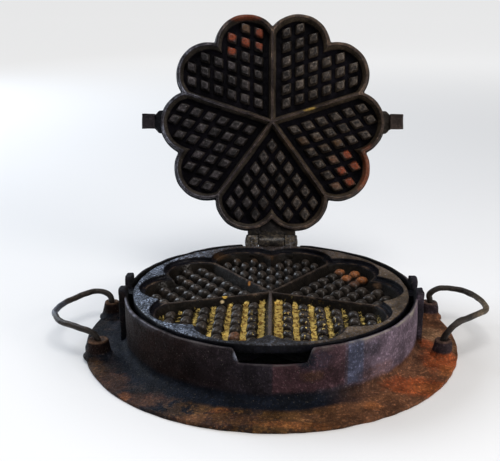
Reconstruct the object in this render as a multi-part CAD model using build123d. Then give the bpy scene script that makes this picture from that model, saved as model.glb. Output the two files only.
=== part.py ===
from build123d import *
import math
import os

os.makedirs("parts", exist_ok=True)

# Stovetop heart waffle iron: a cast ring with two wire handles stands on the stove.
# A round lower plate hangs in the ring's forks on two half-round trunnions, and a
# flower-shaped upper plate is hinged to its back edge.
# Frame: +Z up, +X to the user's right, +Y away from the user. The origin is the ring's
# centre on its underside. All lengths are in millimetres and all angles in degrees.

# ------------------------------------------------------------------ cooking surface
heart_count = 5
lobe_centre_radius = 68.4      # from the plate's middle to the middle of each lobe
lobe_radius = 26.9             # outside of the upper plate's rim
lobe_half_angle = 17.3         # each heart's two lobes stand this far off its axis
rim_width = 2.6
ridge_width = 1.5              # top of the dividing ridges between hearts
recess_depth = 8.0
recess_side_slope = 2.6        # the recess is this much narrower at its floor, each side
peg_pitch = 11.5               # square to a ridge, from one row of pegs to the next
first_peg_row = 12.0
peg_half_base = 4.4
peg_half_top = 2.6
peg_below_rim = 2.2
peg_overlap = 2.0              # pegs may run this far into the recess wall
peg_root = 0.4                 # pegs and floor share this much iron

# ------------------------------------------------------------------ lower plate
nest_clearance = 1.0           # around the upper plate's rim
nest_depth = 3.4               # how deep the upper plate's rim sits below the border
closing_gap = 0.3
border_width = 3.7
border_thickness = 6.0
border_rounding = 0.9
plate_floor_thickness = 5.0
plate_body_taper = 3.0
trunnion_height = 36.7         # the two plates meet in the trunnions' axis
trunnion_radius = 6.5
lower_trunnion_reach = 7.0     # past the lower plate's edge
trunnion_root = 6.0            # how far each trunnion runs in under the border

# ------------------------------------------------------------------ upper plate
lid_floor_thickness = 4.5
lid_flare = 1.5                # behind its rim, the upper plate widens by this much
lid_draft = 0.6
lid_back_rounding = 2.8
upper_trunnion_reach = 11.5    # past the lower plate's edge
upper_trunnion_gap = 0.5       # between the upper trunnions and the lower plate's edge
shoulder_half_width = 9.7
shoulder_reach = 0.2           # past the lower plate's edge
shoulder_thickness = 5.5
shoulder_chamfer = 3.0
shoulder_lift = 0.4            # clearance over the lower plate's border
web_step = 0.4                 # the web's back lies this much under the knuckles' top
open_angle = 107.1             # of the upper plate, as it leans back on its stop

# ------------------------------------------------------------------ hinge
hinge_reach = 3.0              # axis of the hinge, past the lower plate's edge
hinge_rise = 4.8               # axis of the hinge, above the trunnions' axis
knuckle_radius = 6.5
centre_knuckle_half_width = 10.7
knuckle_gap = 0.5
hinge_half_width = 21.7
pin_radius = 2.4
pin_clearance = 0.05
pin_head_radius = 3.4
pin_head_height = 0.9
knuckle_clearance = 0.5
web_half_width = 20.4
web_gap = 0.9                  # between the upper plate's web and the outer knuckles
hinge_foot_half_width = 18.5
hinge_foot_depth = 11.4        # underside of the foot, below the hinge's axis
hinge_foot_reach = 5.5         # past the hinge's axis
hinge_foot_root = 15.0         # how far the foot runs in from the hinge's axis
hinge_foot_thickness = 5.0
stop_heel_radius = 8.3
stop_heel_start = -25.0        # degrees round the hinge's axis, with the iron closed
stop_heel_end = 20.0
stop_gap = 0.3

# ------------------------------------------------------------------ ring
plate_gap = 3.6                # between the lower plate and the ring's wall
wall_thickness = 2.6
wall_below_border = 0.6
wall_top_rounding = 0.9
wall_foot_fillet = 5.0
flange_reach = 29.8            # past the wall
flange_edge_height = 2.6
flange_root_height = 4.8
flange_edge_rounding = 1.0
notch_floor_clearance = 3.0    # each side of the hinge's foot
notch_flare = 3.5
notch_floor_rounding = 2.5
notch_top_rounding = 3.0
seat_gap = 0.3
front_notch_offset = 1.8       # the front notch was cast a little right of the middle

# ------------------------------------------------------------------ forks
fork_clearance = 0.4           # around the trunnions
prong_width = 12.5
prong_proud = 2.5              # outside the wall
prong_thickness = 5.3
prong_rise = 4.6               # above the wall
prong_top_rounding = 3.0
prong_edge_rounding = 1.0
prong_root = 1.5               # height at which each prong's rib starts in the flange

# ------------------------------------------------------------------ handles
boss_out = 16.3                # past the wall
boss_spread = 35.3             # each side of the handle's middle
boss_toe = 2.1                 # front bosses stand this much nearer the wall, back ones further
left_handle_shift = -4.1       # the handles were cast a little off the forks' middle
right_handle_shift = 1.3
boss_top_radius = 5.6
boss_base_radius = 8.2
wide_boss_extra = 1.5          # the left front boss was cast this much wider
boss_height = 15.3
boss_rounding = 0.9
wire_radius = 2.3
wire_hole_depth = 8.0
wire_hole_clearance = 0.05
wire_leg = 1.2                 # from the boss up to the wire's first bend
wire_bend_share = 0.45         # of the shorter run beside each bend

# ------------------------------------------------------------------ worked out
cut_overshoot = 0.5            # how far cutters stand out of the face that they cut
heart_angle = 360.0 / heart_count
half_heart = heart_angle / 2
plate_radius = lobe_centre_radius + lobe_radius + nest_clearance + border_width
border_height = trunnion_height + nest_depth
ledge_height = trunnion_height - closing_gap
lower_floor_height = ledge_height - recess_depth
lower_underside = lower_floor_height - plate_floor_thickness
lid_rim_height = trunnion_height
lid_floor_height = lid_rim_height + recess_depth
lid_back_height = lid_floor_height + lid_floor_thickness
hinge_y = plate_radius + hinge_reach
hinge_z = trunnion_height + hinge_rise
foot_underside = hinge_z - hinge_foot_depth
wall_inner_radius = plate_radius + plate_gap
wall_outer_radius = wall_inner_radius + wall_thickness
wall_height = border_height - wall_below_border
flange_radius = wall_outer_radius + flange_reach
notch_floor_height = foot_underside - seat_gap
fork_radius = trunnion_radius + fork_clearance
boss_x = wall_outer_radius + boss_out
outer_knuckle_start = centre_knuckle_half_width + knuckle_gap
hinge_axis = Axis((0, hinge_y, hinge_z), (1, 0, 0))
web_end = hinge_y - knuckle_radius - web_gap
shoulder_underside = border_height + shoulder_lift


def polar(radius, angle):
    """Point at a distance and an angle from the middle, in the plane of the plates."""
    return Vector(radius * math.cos(math.radians(angle)), radius * math.sin(math.radians(angle)))


def box_between(low, high):
    """Solid box between two opposite corners."""
    size = [b - a for a, b in zip(low, high)]
    middle = [(a + b) / 2 for a, b in zip(low, high)]
    return Pos(*middle) * Box(*size)


def hinge_rod(radius, x_from, x_to):
    """Round bar on the hinge's axis."""
    bar = Cylinder(radius, x_to - x_from, rotation=(0, 90, 0))
    return Pos((x_from + x_to) / 2, hinge_y, hinge_z) * bar


def hinge_sector(radius, angle_from, angle_to, half_width):
    """Pie slice round the hinge's axis, measured from +Y towards +Z."""
    middle = Vector(hinge_y, hinge_z)
    corner_a = middle + polar(radius, angle_from)
    corner_b = middle + polar(radius, angle_to)
    crown = middle + polar(radius, (angle_from + angle_to) / 2)
    outline = Line(middle, corner_a) + ThreePointArc(corner_a, crown, corner_b)
    outline += Line(corner_b, middle)
    return extrude(Plane.YZ * make_face(outline), half_width, both=True)


# ------------------------------------------------------------------ flower and hearts
def cleft_distance(radius, angle_off_lobe):
    """How far from the middle two neighbouring lobes cross."""
    off = math.radians(angle_off_lobe)
    reach = lobe_centre_radius * math.sin(off)
    return lobe_centre_radius * math.cos(off) + math.sqrt(radius ** 2 - reach ** 2)


def flower(radius, height):
    """Flower outline of ten round lobes, two to a heart."""
    inner = cleft_distance(radius, lobe_half_angle)
    outer = cleft_distance(radius, half_heart - lobe_half_angle)
    edges = []
    for heart in range(heart_count):
        axis = 90 + heart * heart_angle
        for side in (-1, 1):
            start = polar(inner, axis)
            crown = polar(lobe_centre_radius + radius, axis + side * lobe_half_angle)
            end = polar(outer, axis + side * half_heart)
            points = (start, crown, end) if side > 0 else (end, crown, start)
            edges.append(ThreePointArc(*points))
    return Pos(0, 0, height) * make_face(edges)


def flower_body(sections):
    """Solid between flower outlines, given as lobe radius and height."""
    return loft([flower(radius, height) for radius, height in sections], ruled=True)


def heart(inset, height):
    """Outline of one heart's recess, drawn along +X and smaller all round by the inset."""
    radius = lobe_radius - rim_width - inset
    tip = Vector((ridge_width / 2 + inset) / math.sin(math.radians(half_heart)), 0)
    cleft = Vector(cleft_distance(radius, lobe_half_angle), 0)
    edges = []
    for side in (1, -1):
        lobe = polar(lobe_centre_radius, side * lobe_half_angle)
        along = polar(1, side * half_heart)
        from_lobe = tip - lobe
        half_b = from_lobe.dot(along)
        far = -half_b + math.sqrt(half_b ** 2 - from_lobe.dot(from_lobe) + radius ** 2)
        corner = tip + along * far
        corner_angle = math.degrees(math.atan2((corner - lobe).Y, (corner - lobe).X))
        cleft_angle = math.degrees(math.atan2((cleft - lobe).Y, (cleft - lobe).X))
        crown = lobe + polar(radius, (corner_angle + cleft_angle) / 2)
        edges.append(Line(tip, corner))
        edges.append(ThreePointArc(corner, crown, cleft))
    return Pos(0, 0, height) * make_face(edges)


def hearts(solid):
    """The same solid turned onto each heart's axis."""
    return [Rot(0, 0, 90 + k * heart_angle) * solid for k in range(heart_count)]


def recess(rim_height, floor_height):
    """One heart's recess, from just outside the rim to its floor."""
    above = math.copysign(cut_overshoot, rim_height - floor_height)
    widening = recess_side_slope * cut_overshoot / recess_depth
    faces = [heart(-widening, rim_height + above), heart(recess_side_slope, floor_height)]
    return loft(faces, ruled=True)


def inside_lobes(point):
    """Whether a point lies within the recess's floor, or just inside its wall."""
    distance = math.hypot(point.X, point.Y)
    angle = math.degrees(math.atan2(point.Y, point.X))
    off = math.radians(abs(angle) - lobe_half_angle)
    radius = lobe_radius - rim_width - recess_side_slope
    across = lobe_centre_radius * math.sin(off)
    if abs(across) >= radius:
        return False
    reach = lobe_centre_radius * math.cos(off) + math.sqrt(radius ** 2 - across ** 2)
    return distance <= reach + peg_overlap


def peg_section(row, column, half_width, height):
    """Slanted square of one peg, its sides parallel to the heart's two ridges."""
    stretch = math.sin(math.radians(heart_angle))
    along_row = polar(1 / stretch, half_heart)
    along_column = polar(1 / stretch, -half_heart)
    corners = []
    for a, b in ((-1, -1), (1, -1), (1, 1), (-1, 1)):
        corner = along_row * (row + a * half_width) + along_column * (column + b * half_width)
        corners.append(Vector(corner.X, corner.Y, height))
    return corners


def pegs(floor_height, top_height):
    """One heart's pegs, on a slanted grid that follows its two ridges."""
    sunk = math.copysign(peg_root, floor_height - top_height)
    grid = []
    rows = int(2 * plate_radius / peg_pitch)
    for i in range(rows):
        for j in range(rows):
            row = first_peg_row + i * peg_pitch
            column = first_peg_row + j * peg_pitch
            base = peg_section(row, column, peg_half_base, floor_height + sunk)
            if all(inside_lobes(corner) for corner in base):
                top = peg_section(row, column, peg_half_top, top_height)
                faces = [make_face(Polyline(*ring, close=True)) for ring in (base, top)]
                grid.append(loft(faces, ruled=True))
    return grid


def cooking_face(body, rim_height, floor_height):
    """The body with its five hearts sunk in and their pegs standing on the floor."""
    top_height = rim_height + math.copysign(peg_below_rim, floor_height - rim_height)
    body = body - hearts(recess(rim_height, floor_height))
    standing = []
    for peg in pegs(floor_height, top_height):
        standing += hearts(peg)
    print("pegs on this plate:", len(standing))
    return body + standing


# ------------------------------------------------------------------ base ring
def notch(x_offset, y_from, y_to):
    """Cutter for a notch in the wall's top, wider above and rounded in its corners."""
    half_width = hinge_foot_half_width + notch_floor_clearance
    top = half_width + notch_flare
    above = wall_height + 2 * notch_top_rounding
    out = top + 3 * notch_top_rounding
    outline = Polyline(
        (-half_width, notch_floor_height), (half_width, notch_floor_height),
        (top, wall_height), (out, wall_height), (out, above),
        (-out, above), (-out, wall_height), (-top, wall_height), close=True)
    face = make_face(outline)
    floor_corners = face.vertices().group_by(Axis.Y)[0]
    face = fillet(floor_corners, notch_floor_rounding)
    lip_corners = face.vertices().filter_by(
        lambda v: abs(v.Y - wall_height) < 1e-6 and abs(v.X) < top + 1e-6)
    face = fillet(lip_corners, notch_top_rounding)
    cutter = extrude(Plane.XZ * face, y_to - y_from, dir=(0, 1, 0))
    return Pos(x_offset, y_from, 0) * cutter


def prong(side, along):
    """One prong of a fork, with the rib that carries it down the wall's outside."""
    near = fork_radius
    far = fork_radius + prong_width
    outer = wall_outer_radius + prong_proud
    face = make_face(Polyline(
        (near, prong_root), (far, prong_root), (far, wall_height + prong_rise),
        (near, wall_height + prong_rise), close=True))
    face = fillet(face.vertices().group_by(Axis.Y)[-1], prong_top_rounding)
    block = Pos(outer - prong_thickness, 0, 0) * extrude(Plane.YZ * face, prong_thickness)
    block = fillet(block.faces().sort_by(Axis.X)[-1].edges(), prong_edge_rounding)
    if along < 0:
        block = block.mirror(Plane.XZ)
    return block.mirror(Plane.YZ) if side < 0 else block


def base_ring():
    """Flange, wall, forks and handle bosses, cast in one."""
    section = make_face(Polyline(
        (wall_inner_radius, 0), (flange_radius, 0), (flange_radius, flange_edge_height),
        (wall_outer_radius, flange_root_height), (wall_outer_radius, wall_height),
        (wall_inner_radius, wall_height), close=True))
    corners = section.vertices()
    section = fillet(corners.group_by(Axis.Y)[-1], wall_top_rounding)
    foot = section.vertices().sort_by_distance((wall_outer_radius, flange_root_height))[0]
    section = fillet(foot, wall_foot_fillet)
    edge = section.vertices().sort_by_distance((flange_radius, flange_edge_height))[0]
    section = fillet(edge, flange_edge_rounding)
    ring = revolve(Plane.XZ * section, Axis.Z)

    for side in (-1, 1):
        for along in (-1, 1):
            ring += prong(side, along)
            extra = wide_boss_extra if side + along == -2 else 0
            boss = Pos(0, 0, boss_height / 2 + flange_edge_height / 4) * Cone(
                boss_base_radius + extra, boss_top_radius + extra,
                boss_height - flange_edge_height / 2)
            boss = fillet(boss.edges().group_by(Axis.Z)[-1], boss_rounding)
            ring += Pos(*boss_place(side, along)) * boss
    for side in (-1, 1):
        ring -= wire(side, wire_radius + wire_hole_clearance)

    front = notch(front_notch_offset, -flange_radius, -wall_inner_radius / 2)
    back = notch(0, wall_inner_radius / 2, flange_radius)
    ring -= [front, back]

    for side in (-1, 1):
        x_from = side * (wall_inner_radius - 2 * plate_gap)
        x_to = side * (wall_outer_radius + 2 * prong_proud)
        length = abs(x_to - x_from)
        round_floor = Pos((x_from + x_to) / 2, 0, trunnion_height) * Cylinder(
            fork_radius, length, rotation=(0, 90, 0))
        slot = box_between((min(x_from, x_to), -fork_radius, trunnion_height),
                           (max(x_from, x_to), fork_radius, wall_height + 2 * prong_rise))
        ring = ring - round_floor - slot
    return ring


# ------------------------------------------------------------------ wire handles
# Each loop's bends between its two bosses: out from the bosses' middle, along the
# ring, and up from the stove.
left_loop = [
    (5.5, -34.6, 22.0), (28.0, -24.8, 23.4), (36.1, -6.0, 22.6), (36.1, 4.0, 22.3),
    (29.7, 20.6, 22.3), (16.5, 36.6, 22.8), (9.5, 38.0, 22.2), (4.0, 36.8, 20.0)]
right_loop = [
    (4.5, -37.8, 28.0), (33.8, -12.3, 28.2), (34.2, 3.0, 27.5), (32.0, 18.0, 27.0),
    (25.5, 29.5, 26.6), (16.0, 33.8, 27.0), (8.5, 34.6, 26.4), (3.2, 34.9, 24.0),
    (0.4, 35.1, 20.5)]


def boss_place(side, along, height=0):
    """Axis of one handle boss, at a height above the stove."""
    shift = left_handle_shift if side < 0 else right_handle_shift
    return Vector(side * (boss_x + along * boss_toe), along * boss_spread + shift, height)


def wire(side, radius):
    """Wire bent through its loop's points, its two ends inside the bosses."""
    shift = left_handle_shift if side < 0 else right_handle_shift
    loop_points = left_loop if side < 0 else right_loop
    bottom = boss_height - wire_hole_depth
    bend = boss_height + wire_leg
    points = [boss_place(side, -1, bottom), boss_place(side, -1, bend)]
    points += [Vector(side * (boss_x + out), along + shift, up) for out, along, up in loop_points]
    points += [boss_place(side, 1, bend), boss_place(side, 1, bottom)]
    radii = []
    for before, corner, after in zip(points, points[1:], points[2:]):
        turn = (corner - before).get_angle(after - corner)
        run = min((corner - before).length, (after - corner).length)
        radii.append(wire_bend_share * run / math.tan(math.radians(turn / 2)))
    path = FilletPolyline(*points, radius=radii)
    section = Plane(points[0], z_dir=(0, 0, 1)) * Circle(radius)
    return sweep(section, path=path)


# ------------------------------------------------------------------ lower plate
def trunnion(side, reach, low, high):
    """Part of a round trunnion between two heights."""
    x_in = plate_radius - trunnion_root
    x_out = plate_radius + reach
    bar = Cylinder(trunnion_radius, x_out - x_in, rotation=(0, 90, 0))
    bar = Pos(side * (x_in + x_out) / 2, 0, trunnion_height) * bar
    keep = box_between((-2 * plate_radius, -2 * trunnion_radius, low),
                       (2 * plate_radius, 2 * trunnion_radius, high))
    return bar & keep


def outer_knuckle(side):
    """Knuckle of the lower plate, with the cheek that joins it to the border."""
    front = hinge_y - knuckle_radius - knuckle_clearance / 2
    slope = knuckle_radius * math.sqrt(0.5)
    cheek = make_face(Polyline(
        (front, border_height - border_thickness), (front, border_height),
        (hinge_y - slope, hinge_z + slope), (hinge_y + slope, hinge_z - slope),
        (hinge_y + hinge_foot_reach, border_height - border_thickness), close=True))
    width = hinge_half_width - outer_knuckle_start
    cheek = extrude(Plane.YZ * cheek, width)
    cheek = Pos(outer_knuckle_start, 0, 0) * cheek
    knuckle = cheek + hinge_rod(knuckle_radius, outer_knuckle_start, hinge_half_width)
    return knuckle.mirror(Plane.YZ) if side < 0 else knuckle


def lower_plate():
    """Round plate with a flower-shaped nest, pegs, trunnions and two knuckles."""
    top = border_height
    bottom = border_height - border_thickness
    section = make_face(Polyline(
        (0, bottom), (plate_radius, bottom), (plate_radius, top), (0, top), close=True))
    section = fillet(section.vertices().group_by(Axis.X)[-1], border_rounding)
    plate = revolve(Plane.XZ * section, Axis.Z)
    plate += flower_body([(lobe_radius, bottom + border_rounding),
                          (lobe_radius - plate_body_taper, lower_underside)])
    plate += box_between(
        (-hinge_foot_half_width, hinge_y - hinge_foot_root, foot_underside),
        (hinge_foot_half_width, hinge_y + hinge_foot_reach,
         foot_underside + hinge_foot_thickness))
    for side in (-1, 1):
        plate += trunnion(side, lower_trunnion_reach, 0, ledge_height)
        plate += outer_knuckle(side)
    plate -= extrude(flower(lobe_radius + nest_clearance, ledge_height), 2 * nest_depth)
    plate -= hinge_rod(knuckle_radius + knuckle_clearance,
                       -outer_knuckle_start, outer_knuckle_start)
    stop_angle = stop_heel_start - open_angle
    stop_angle -= math.degrees(stop_gap / stop_heel_radius)
    plate -= hinge_sector(stop_heel_radius + knuckle_clearance, stop_angle, 90,
                          outer_knuckle_start)
    plate -= hinge_rod(pin_radius + pin_clearance, -plate_radius, plate_radius)
    return cooking_face(plate, ledge_height, lower_floor_height)


# ------------------------------------------------------------------ upper plate
def lid_shoulder(side):
    """Lug over the lower plate's border that carries the upper half of a trunnion."""
    inner = lobe_centre_radius + lobe_radius / 2
    outer = plate_radius + shoulder_reach
    narrow = trunnion_radius
    wide = shoulder_half_width
    face = make_face(Polyline(
        (inner, -wide), (outer - shoulder_chamfer, -wide), (outer, -narrow),
        (outer, narrow), (outer - shoulder_chamfer, wide), (inner, wide), close=True))
    lug = Pos(0, 0, shoulder_underside) * extrude(face, shoulder_thickness)
    tip = trunnion(1, upper_trunnion_reach, lid_rim_height, lid_back_height)
    tip -= Cylinder(plate_radius + upper_trunnion_gap, 2 * shoulder_underside)
    lug += tip
    return lug.mirror(Plane.YZ) if side < 0 else lug


def upper_plate_closed():
    """Flower-shaped plate, drawn closed over the lower one."""
    back = lid_back_height
    wide = lobe_radius + lid_flare
    plate = flower_body([
        (lobe_radius, lid_rim_height),
        (lobe_radius, shoulder_underside),
        (wide, shoulder_underside + lid_flare),
        (wide - lid_draft, back - lid_back_rounding),
        (wide - lid_draft - lid_back_rounding, back)])
    top = hinge_z + knuckle_radius
    plate += box_between((-web_half_width, lobe_centre_radius, shoulder_underside),
                         (web_half_width, web_end, top - web_step))
    plate += box_between((-centre_knuckle_half_width, lobe_centre_radius, shoulder_underside),
                         (centre_knuckle_half_width, hinge_y, top))
    plate += hinge_rod(knuckle_radius, -centre_knuckle_half_width, centre_knuckle_half_width)
    plate += hinge_sector(stop_heel_radius, stop_heel_start, stop_heel_end,
                          centre_knuckle_half_width)
    for side in (-1, 1):
        plate += lid_shoulder(side)
    plate -= hinge_rod(pin_radius + pin_clearance, -plate_radius, plate_radius)
    return cooking_face(plate, lid_rim_height, lid_floor_height)


def hinge_pin():
    """Pin through the three knuckles, peened over at both ends."""
    pin = hinge_rod(pin_radius, -hinge_half_width, hinge_half_width)
    for side in (-1, 1):
        x_from = min(side * hinge_half_width, side * (hinge_half_width + pin_head_height))
        pin += hinge_rod(pin_head_radius, x_from, x_from + pin_head_height)
    return pin


pieces = {
    "base_ring": base_ring(),
    "handle_left": wire(-1, wire_radius),
    "handle_right": wire(1, wire_radius),
    "lower_plate": lower_plate(),
    "upper_plate": upper_plate_closed().rotate(hinge_axis, -open_angle),
    "hinge_pin": hinge_pin(),
}
for name, piece in pieces.items():
    export_step(piece, f"parts/{name}.step")
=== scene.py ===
import math

import bpy
import numpy as np
from mathutils import Matrix


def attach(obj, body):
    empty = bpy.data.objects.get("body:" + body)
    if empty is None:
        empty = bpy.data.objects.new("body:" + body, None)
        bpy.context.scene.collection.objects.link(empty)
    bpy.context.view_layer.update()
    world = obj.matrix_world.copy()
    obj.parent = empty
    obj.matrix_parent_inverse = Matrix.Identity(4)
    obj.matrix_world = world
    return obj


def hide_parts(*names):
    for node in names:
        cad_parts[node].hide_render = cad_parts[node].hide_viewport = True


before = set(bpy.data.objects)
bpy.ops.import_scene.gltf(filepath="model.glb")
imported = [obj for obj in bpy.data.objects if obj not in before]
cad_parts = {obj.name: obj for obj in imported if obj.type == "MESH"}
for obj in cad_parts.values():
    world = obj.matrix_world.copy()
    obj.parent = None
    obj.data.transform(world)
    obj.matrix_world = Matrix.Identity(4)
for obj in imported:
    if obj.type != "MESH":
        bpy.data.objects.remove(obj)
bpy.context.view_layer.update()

# ------------------------------------------------------------------ the photograph's view
# The open iron is seen from in front and a little above, with its hinge at the back.
# The camera was fitted to the ring, the two plates and their rows of pegs.
photo_width = 500
focal_pixels = 791.6
sensor_width = 36.0
eye = np.array([0.00215, -0.5437, 0.2482])
yaw = -0.0315
down_pitch = 0.2946
roll = -0.0028

view_data = bpy.data.cameras.new("photo_view")
view_data.sensor_fit = "HORIZONTAL"
view_data.sensor_width = sensor_width
view_data.lens = focal_pixels * sensor_width / photo_width
view_data.clip_start = 0.01
camera = bpy.data.objects.new("photo_view", view_data)
forward = np.array([math.sin(yaw) * math.cos(down_pitch),
                    math.cos(yaw) * math.cos(down_pitch), -math.sin(down_pitch)])
level_right = np.array([math.cos(yaw), -math.sin(yaw), 0.0])
level_up = np.cross(level_right, forward)
right = math.cos(roll) * level_right + math.sin(roll) * level_up
upward = math.cos(roll) * level_up - math.sin(roll) * level_right
pose = np.eye(4)
pose[:3, :4] = np.stack([right, upward, -forward, eye], axis=1)
camera.matrix_world = Matrix(pose.tolist())
bpy.context.scene.collection.objects.link(camera)
bpy.context.scene.camera = camera


# ------------------------------------------------------------------ the table and the light
# A plain white lacquered table top that fills the view, under a pale room: a wide cool
# light at the back left, a warmer lamp at the right and one above, in front. The table
# glows softly away from the iron, for the camera alone.
table_colour = (0.88, 0.88, 0.89, 1.0)
table_half_size = 30.0
table_shine = 0.16
room_colour = (0.93, 0.94, 0.96, 1.0)
room_light = 0.20
room_mirrored = 0.10
glow_start = 0.12
glow_middle = 0.20
glow_end = 2.6
near_glow = 0.12
far_glow = 0.50
lamp_aim = (0, 0, 0.05)


def add(tree, kind, settings=None, **inputs):
    """Adds a node, sets its options, and fills each named input with a value or a link."""
    made = tree.nodes.new(kind)
    for option, value in (settings or {}).items():
        setattr(made, option, value)
    for name, value in inputs.items():
        fill(tree, made.inputs[name.replace("_", " ")], value)
    return made


def fill(tree, socket, value):
    """Links a socket to another node's output, or sets it to a plain value."""
    if isinstance(value, bpy.types.NodeSocket):
        tree.links.new(value, socket)
    else:
        socket.default_value = value


def sums(tree, operation, *values):
    """One Math node on two or three values, each a socket or a number; gives its output."""
    node = add(tree, "ShaderNodeMath", {"operation": operation})
    for socket, value in zip(node.inputs, values):
        fill(tree, socket, value)
    return node.outputs[0]


def times(tree, one, two):
    """Product of two values."""
    return sums(tree, "MULTIPLY", one, two)


def greater(tree, one, two):
    """Larger of two values."""
    return sums(tree, "MAXIMUM", one, two)


def length(tree, vector):
    """Length of a vector."""
    node = add(tree, "ShaderNodeVectorMath", {"operation": "LENGTH"})
    fill(tree, node.inputs[0], vector)
    return node.outputs["Value"]


def remap(tree, value, low, high, new_low=0.0, new_high=1.0):
    """Value from low..high to new_low..new_high, eased at both ends and held outside."""
    node = add(tree, "ShaderNodeMapRange", {"interpolation_type": "SMOOTHSTEP"}, Value=value,
               From_Min=low, From_Max=high, To_Min=new_low, To_Max=new_high)
    return node.outputs[0]


table_surface = bpy.data.materials.new("table_top")
table_surface.use_nodes = True
table_tree = table_surface.node_tree
lacquer = table_tree.nodes["Principled BSDF"]
lacquer.inputs["Base Color"].default_value = table_colour
lacquer.inputs["Roughness"].default_value = table_shine
lacquer.inputs["Emission Color"].default_value = (1.0, 1.0, 1.0, 1.0)
rays = add(table_tree, "ShaderNodeLightPath").outputs
away = length(table_tree, add(table_tree, "ShaderNodeTexCoord").outputs["Object"])
near = remap(table_tree, away, glow_start, glow_middle, 0.0, near_glow)
far = remap(table_tree, away, glow_middle, glow_end, 0.0, far_glow)
seen = greater(table_tree, rays["Is Camera Ray"], rays["Is Transmission Ray"])
glow = times(table_tree, seen, sums(table_tree, "ADD", near, far))
fill(table_tree, lacquer.inputs["Emission Strength"], glow)
half = table_half_size
table_mesh = bpy.data.meshes.new("table_top")
table_mesh.from_pydata([(-half, -half, 0), (half, -half, 0), (half, half, 0), (-half, half, 0)],
                       [], [(0, 1, 2, 3)])
table_mesh.materials.append(table_surface)
table = bpy.data.objects.new("table_top", table_mesh)
bpy.context.scene.collection.objects.link(table)

room = bpy.data.worlds.new("pale_room")
room.use_nodes = True
room_tree = room.node_tree
room_tree.nodes.clear()
rays = add(room_tree, "ShaderNodeLightPath").outputs
strength = greater(room_tree, rays["Is Camera Ray"], rays["Is Transmission Ray"])
strength = greater(room_tree, strength, times(room_tree, rays["Is Glossy Ray"], room_mirrored))
strength = greater(room_tree, strength, room_light)
glow = add(room_tree, "ShaderNodeBackground", Color=room_colour, Strength=strength)
add(room_tree, "ShaderNodeOutputWorld", Surface=glow.outputs[0])
bpy.context.scene.world = room
bpy.context.scene.view_settings.view_transform = "Standard"


def soft_lamp(name, place, aim, size, watts, colour):
    """Large square lamp at a place, turned towards the point that it is aimed at."""
    data = bpy.data.lights.new(name, "AREA")
    data.size = size
    data.energy = watts
    data.color = colour
    lamp = bpy.data.objects.new(name, data)
    away = np.array(place) - np.array(aim)
    away = away / np.linalg.norm(away)
    side = np.cross((0.0, 0.0, 1.0), away)
    side = side / np.linalg.norm(side)
    turn = np.eye(4)
    turn[:3, :4] = np.stack([side, np.cross(away, side), away, np.array(place)], axis=1)
    lamp.matrix_world = Matrix(turn.tolist())
    bpy.context.scene.collection.objects.link(lamp)


soft_lamp("left_light", (-1.4, 1.0, 0.9), lamp_aim, 1.1, 32, (0.80, 0.89, 1.0))
soft_lamp("right_lamp", (1.5, -0.9, 0.75), lamp_aim, 0.9, 17, (1.0, 0.94, 0.88))
soft_lamp("upper_lamp", (0.15, -0.55, 1.7), (0, 0, 0.08), 0.9, 15, (1.0, 0.98, 0.95))

# ------------------------------------------------------------------ base ring
# One rough iron sand casting: a flat flange, an upright wall with a notch in front and
# behind, two open forks for the plates' trunnions, and four bosses for the handles.
# Its skin is old: bluish-black scale, brown rust, and edges rubbed bright. Painted light and
# shade are in its colour too: the wall darker at the left and lighter at the right, a painted
# highlight along the top edge, and near black inside, for soot and painted shade.
wall_inner = 103.6
wall_outer = 106.2
wall_top = 39.5
wall_rounding = 0.9
wall_middle = (wall_inner + wall_outer) / 2
foot_fillet = 5.0
flange_edge = 136.0
flange_root = 4.8
flange_fall = 2.2 / 29.8
notch_floor = 29.8
notch_half_width = 21.0
notch_slope = 2.9
front_notch_shift = 1.8
axle_height = 36.7
fork_slot = 6.9
prong_far = 19.4
prong_inside = 103.4
prong_outside = 108.7
prong_top = 44.1
boss_height = 15.3
boss_out = 122.5
boss_toe = 2.1
boss_spread = 35.3
wide_boss = 1.5
left_shift = -4.1
right_shift = 1.3
along_x = (1, 2, 0)


def waves(points, size, seed, shortest=9.0, longest=60.0):
    """Unevenness of a casting: the sum of sixteen plane sine waves of random direction,
    length and phase, scaled so that its usual height is `size`."""
    chance = np.random.default_rng(seed)
    directions = chance.normal(size=(16, 3))
    directions /= np.linalg.norm(directions, axis=1)[:, None]
    directions *= 2 * math.pi / chance.uniform(shortest, longest, 16)[:, None]
    phases = chance.uniform(0, 2 * math.pi, 16)
    return size * np.sin(points @ directions.T + phases).sum(axis=-1) * math.sqrt(2 / 16)


def rough(points, size, seed, shortest=9.0, longest=60.0):
    """The points, each moved by three independent sums of waves."""
    moves = [waves(points, size, seed + axis, shortest, longest) for axis in range(3)]
    return points + np.stack(moves, axis=-1)


def grid_triangles(rows, columns):
    """Two triangles for each cell of a grid whose points are numbered row by row."""
    index = np.arange(rows * columns).reshape(rows, columns)
    a, b, c, d = index[:-1, :-1], index[:-1, 1:], index[1:, 1:], index[1:, :-1]
    halves = [np.stack([a, b, c], axis=-1), np.stack([a, c, d], axis=-1)]
    return np.concatenate([half.reshape(-1, 3) for half in halves])


def closed_skin(points, triangles):
    """Merges points that meet, drops triangles that close up, and turns the skin so that
    its signed volume, the sum of its corners' triple products, is positive."""
    merged, back = np.unique(np.round(points, 3) + 0.0, axis=0, return_inverse=True)
    triangles = back.reshape(-1)[triangles]
    one, two, three = triangles.T
    triangles = triangles[(one != two) & (two != three) & (three != one)]
    corners = merged[triangles]
    volume = np.einsum("ij,ij->", corners[:, 0], np.cross(corners[:, 1], corners[:, 2]))
    return merged, triangles if volume > 0 else triangles[:, ::-1]


def grid_skin(points):
    """Closed skin of a grid of points whose ends meet or shrink to a pole."""
    return closed_skin(points.reshape(-1, 3), grid_triangles(*points.shape[:2]))


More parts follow.
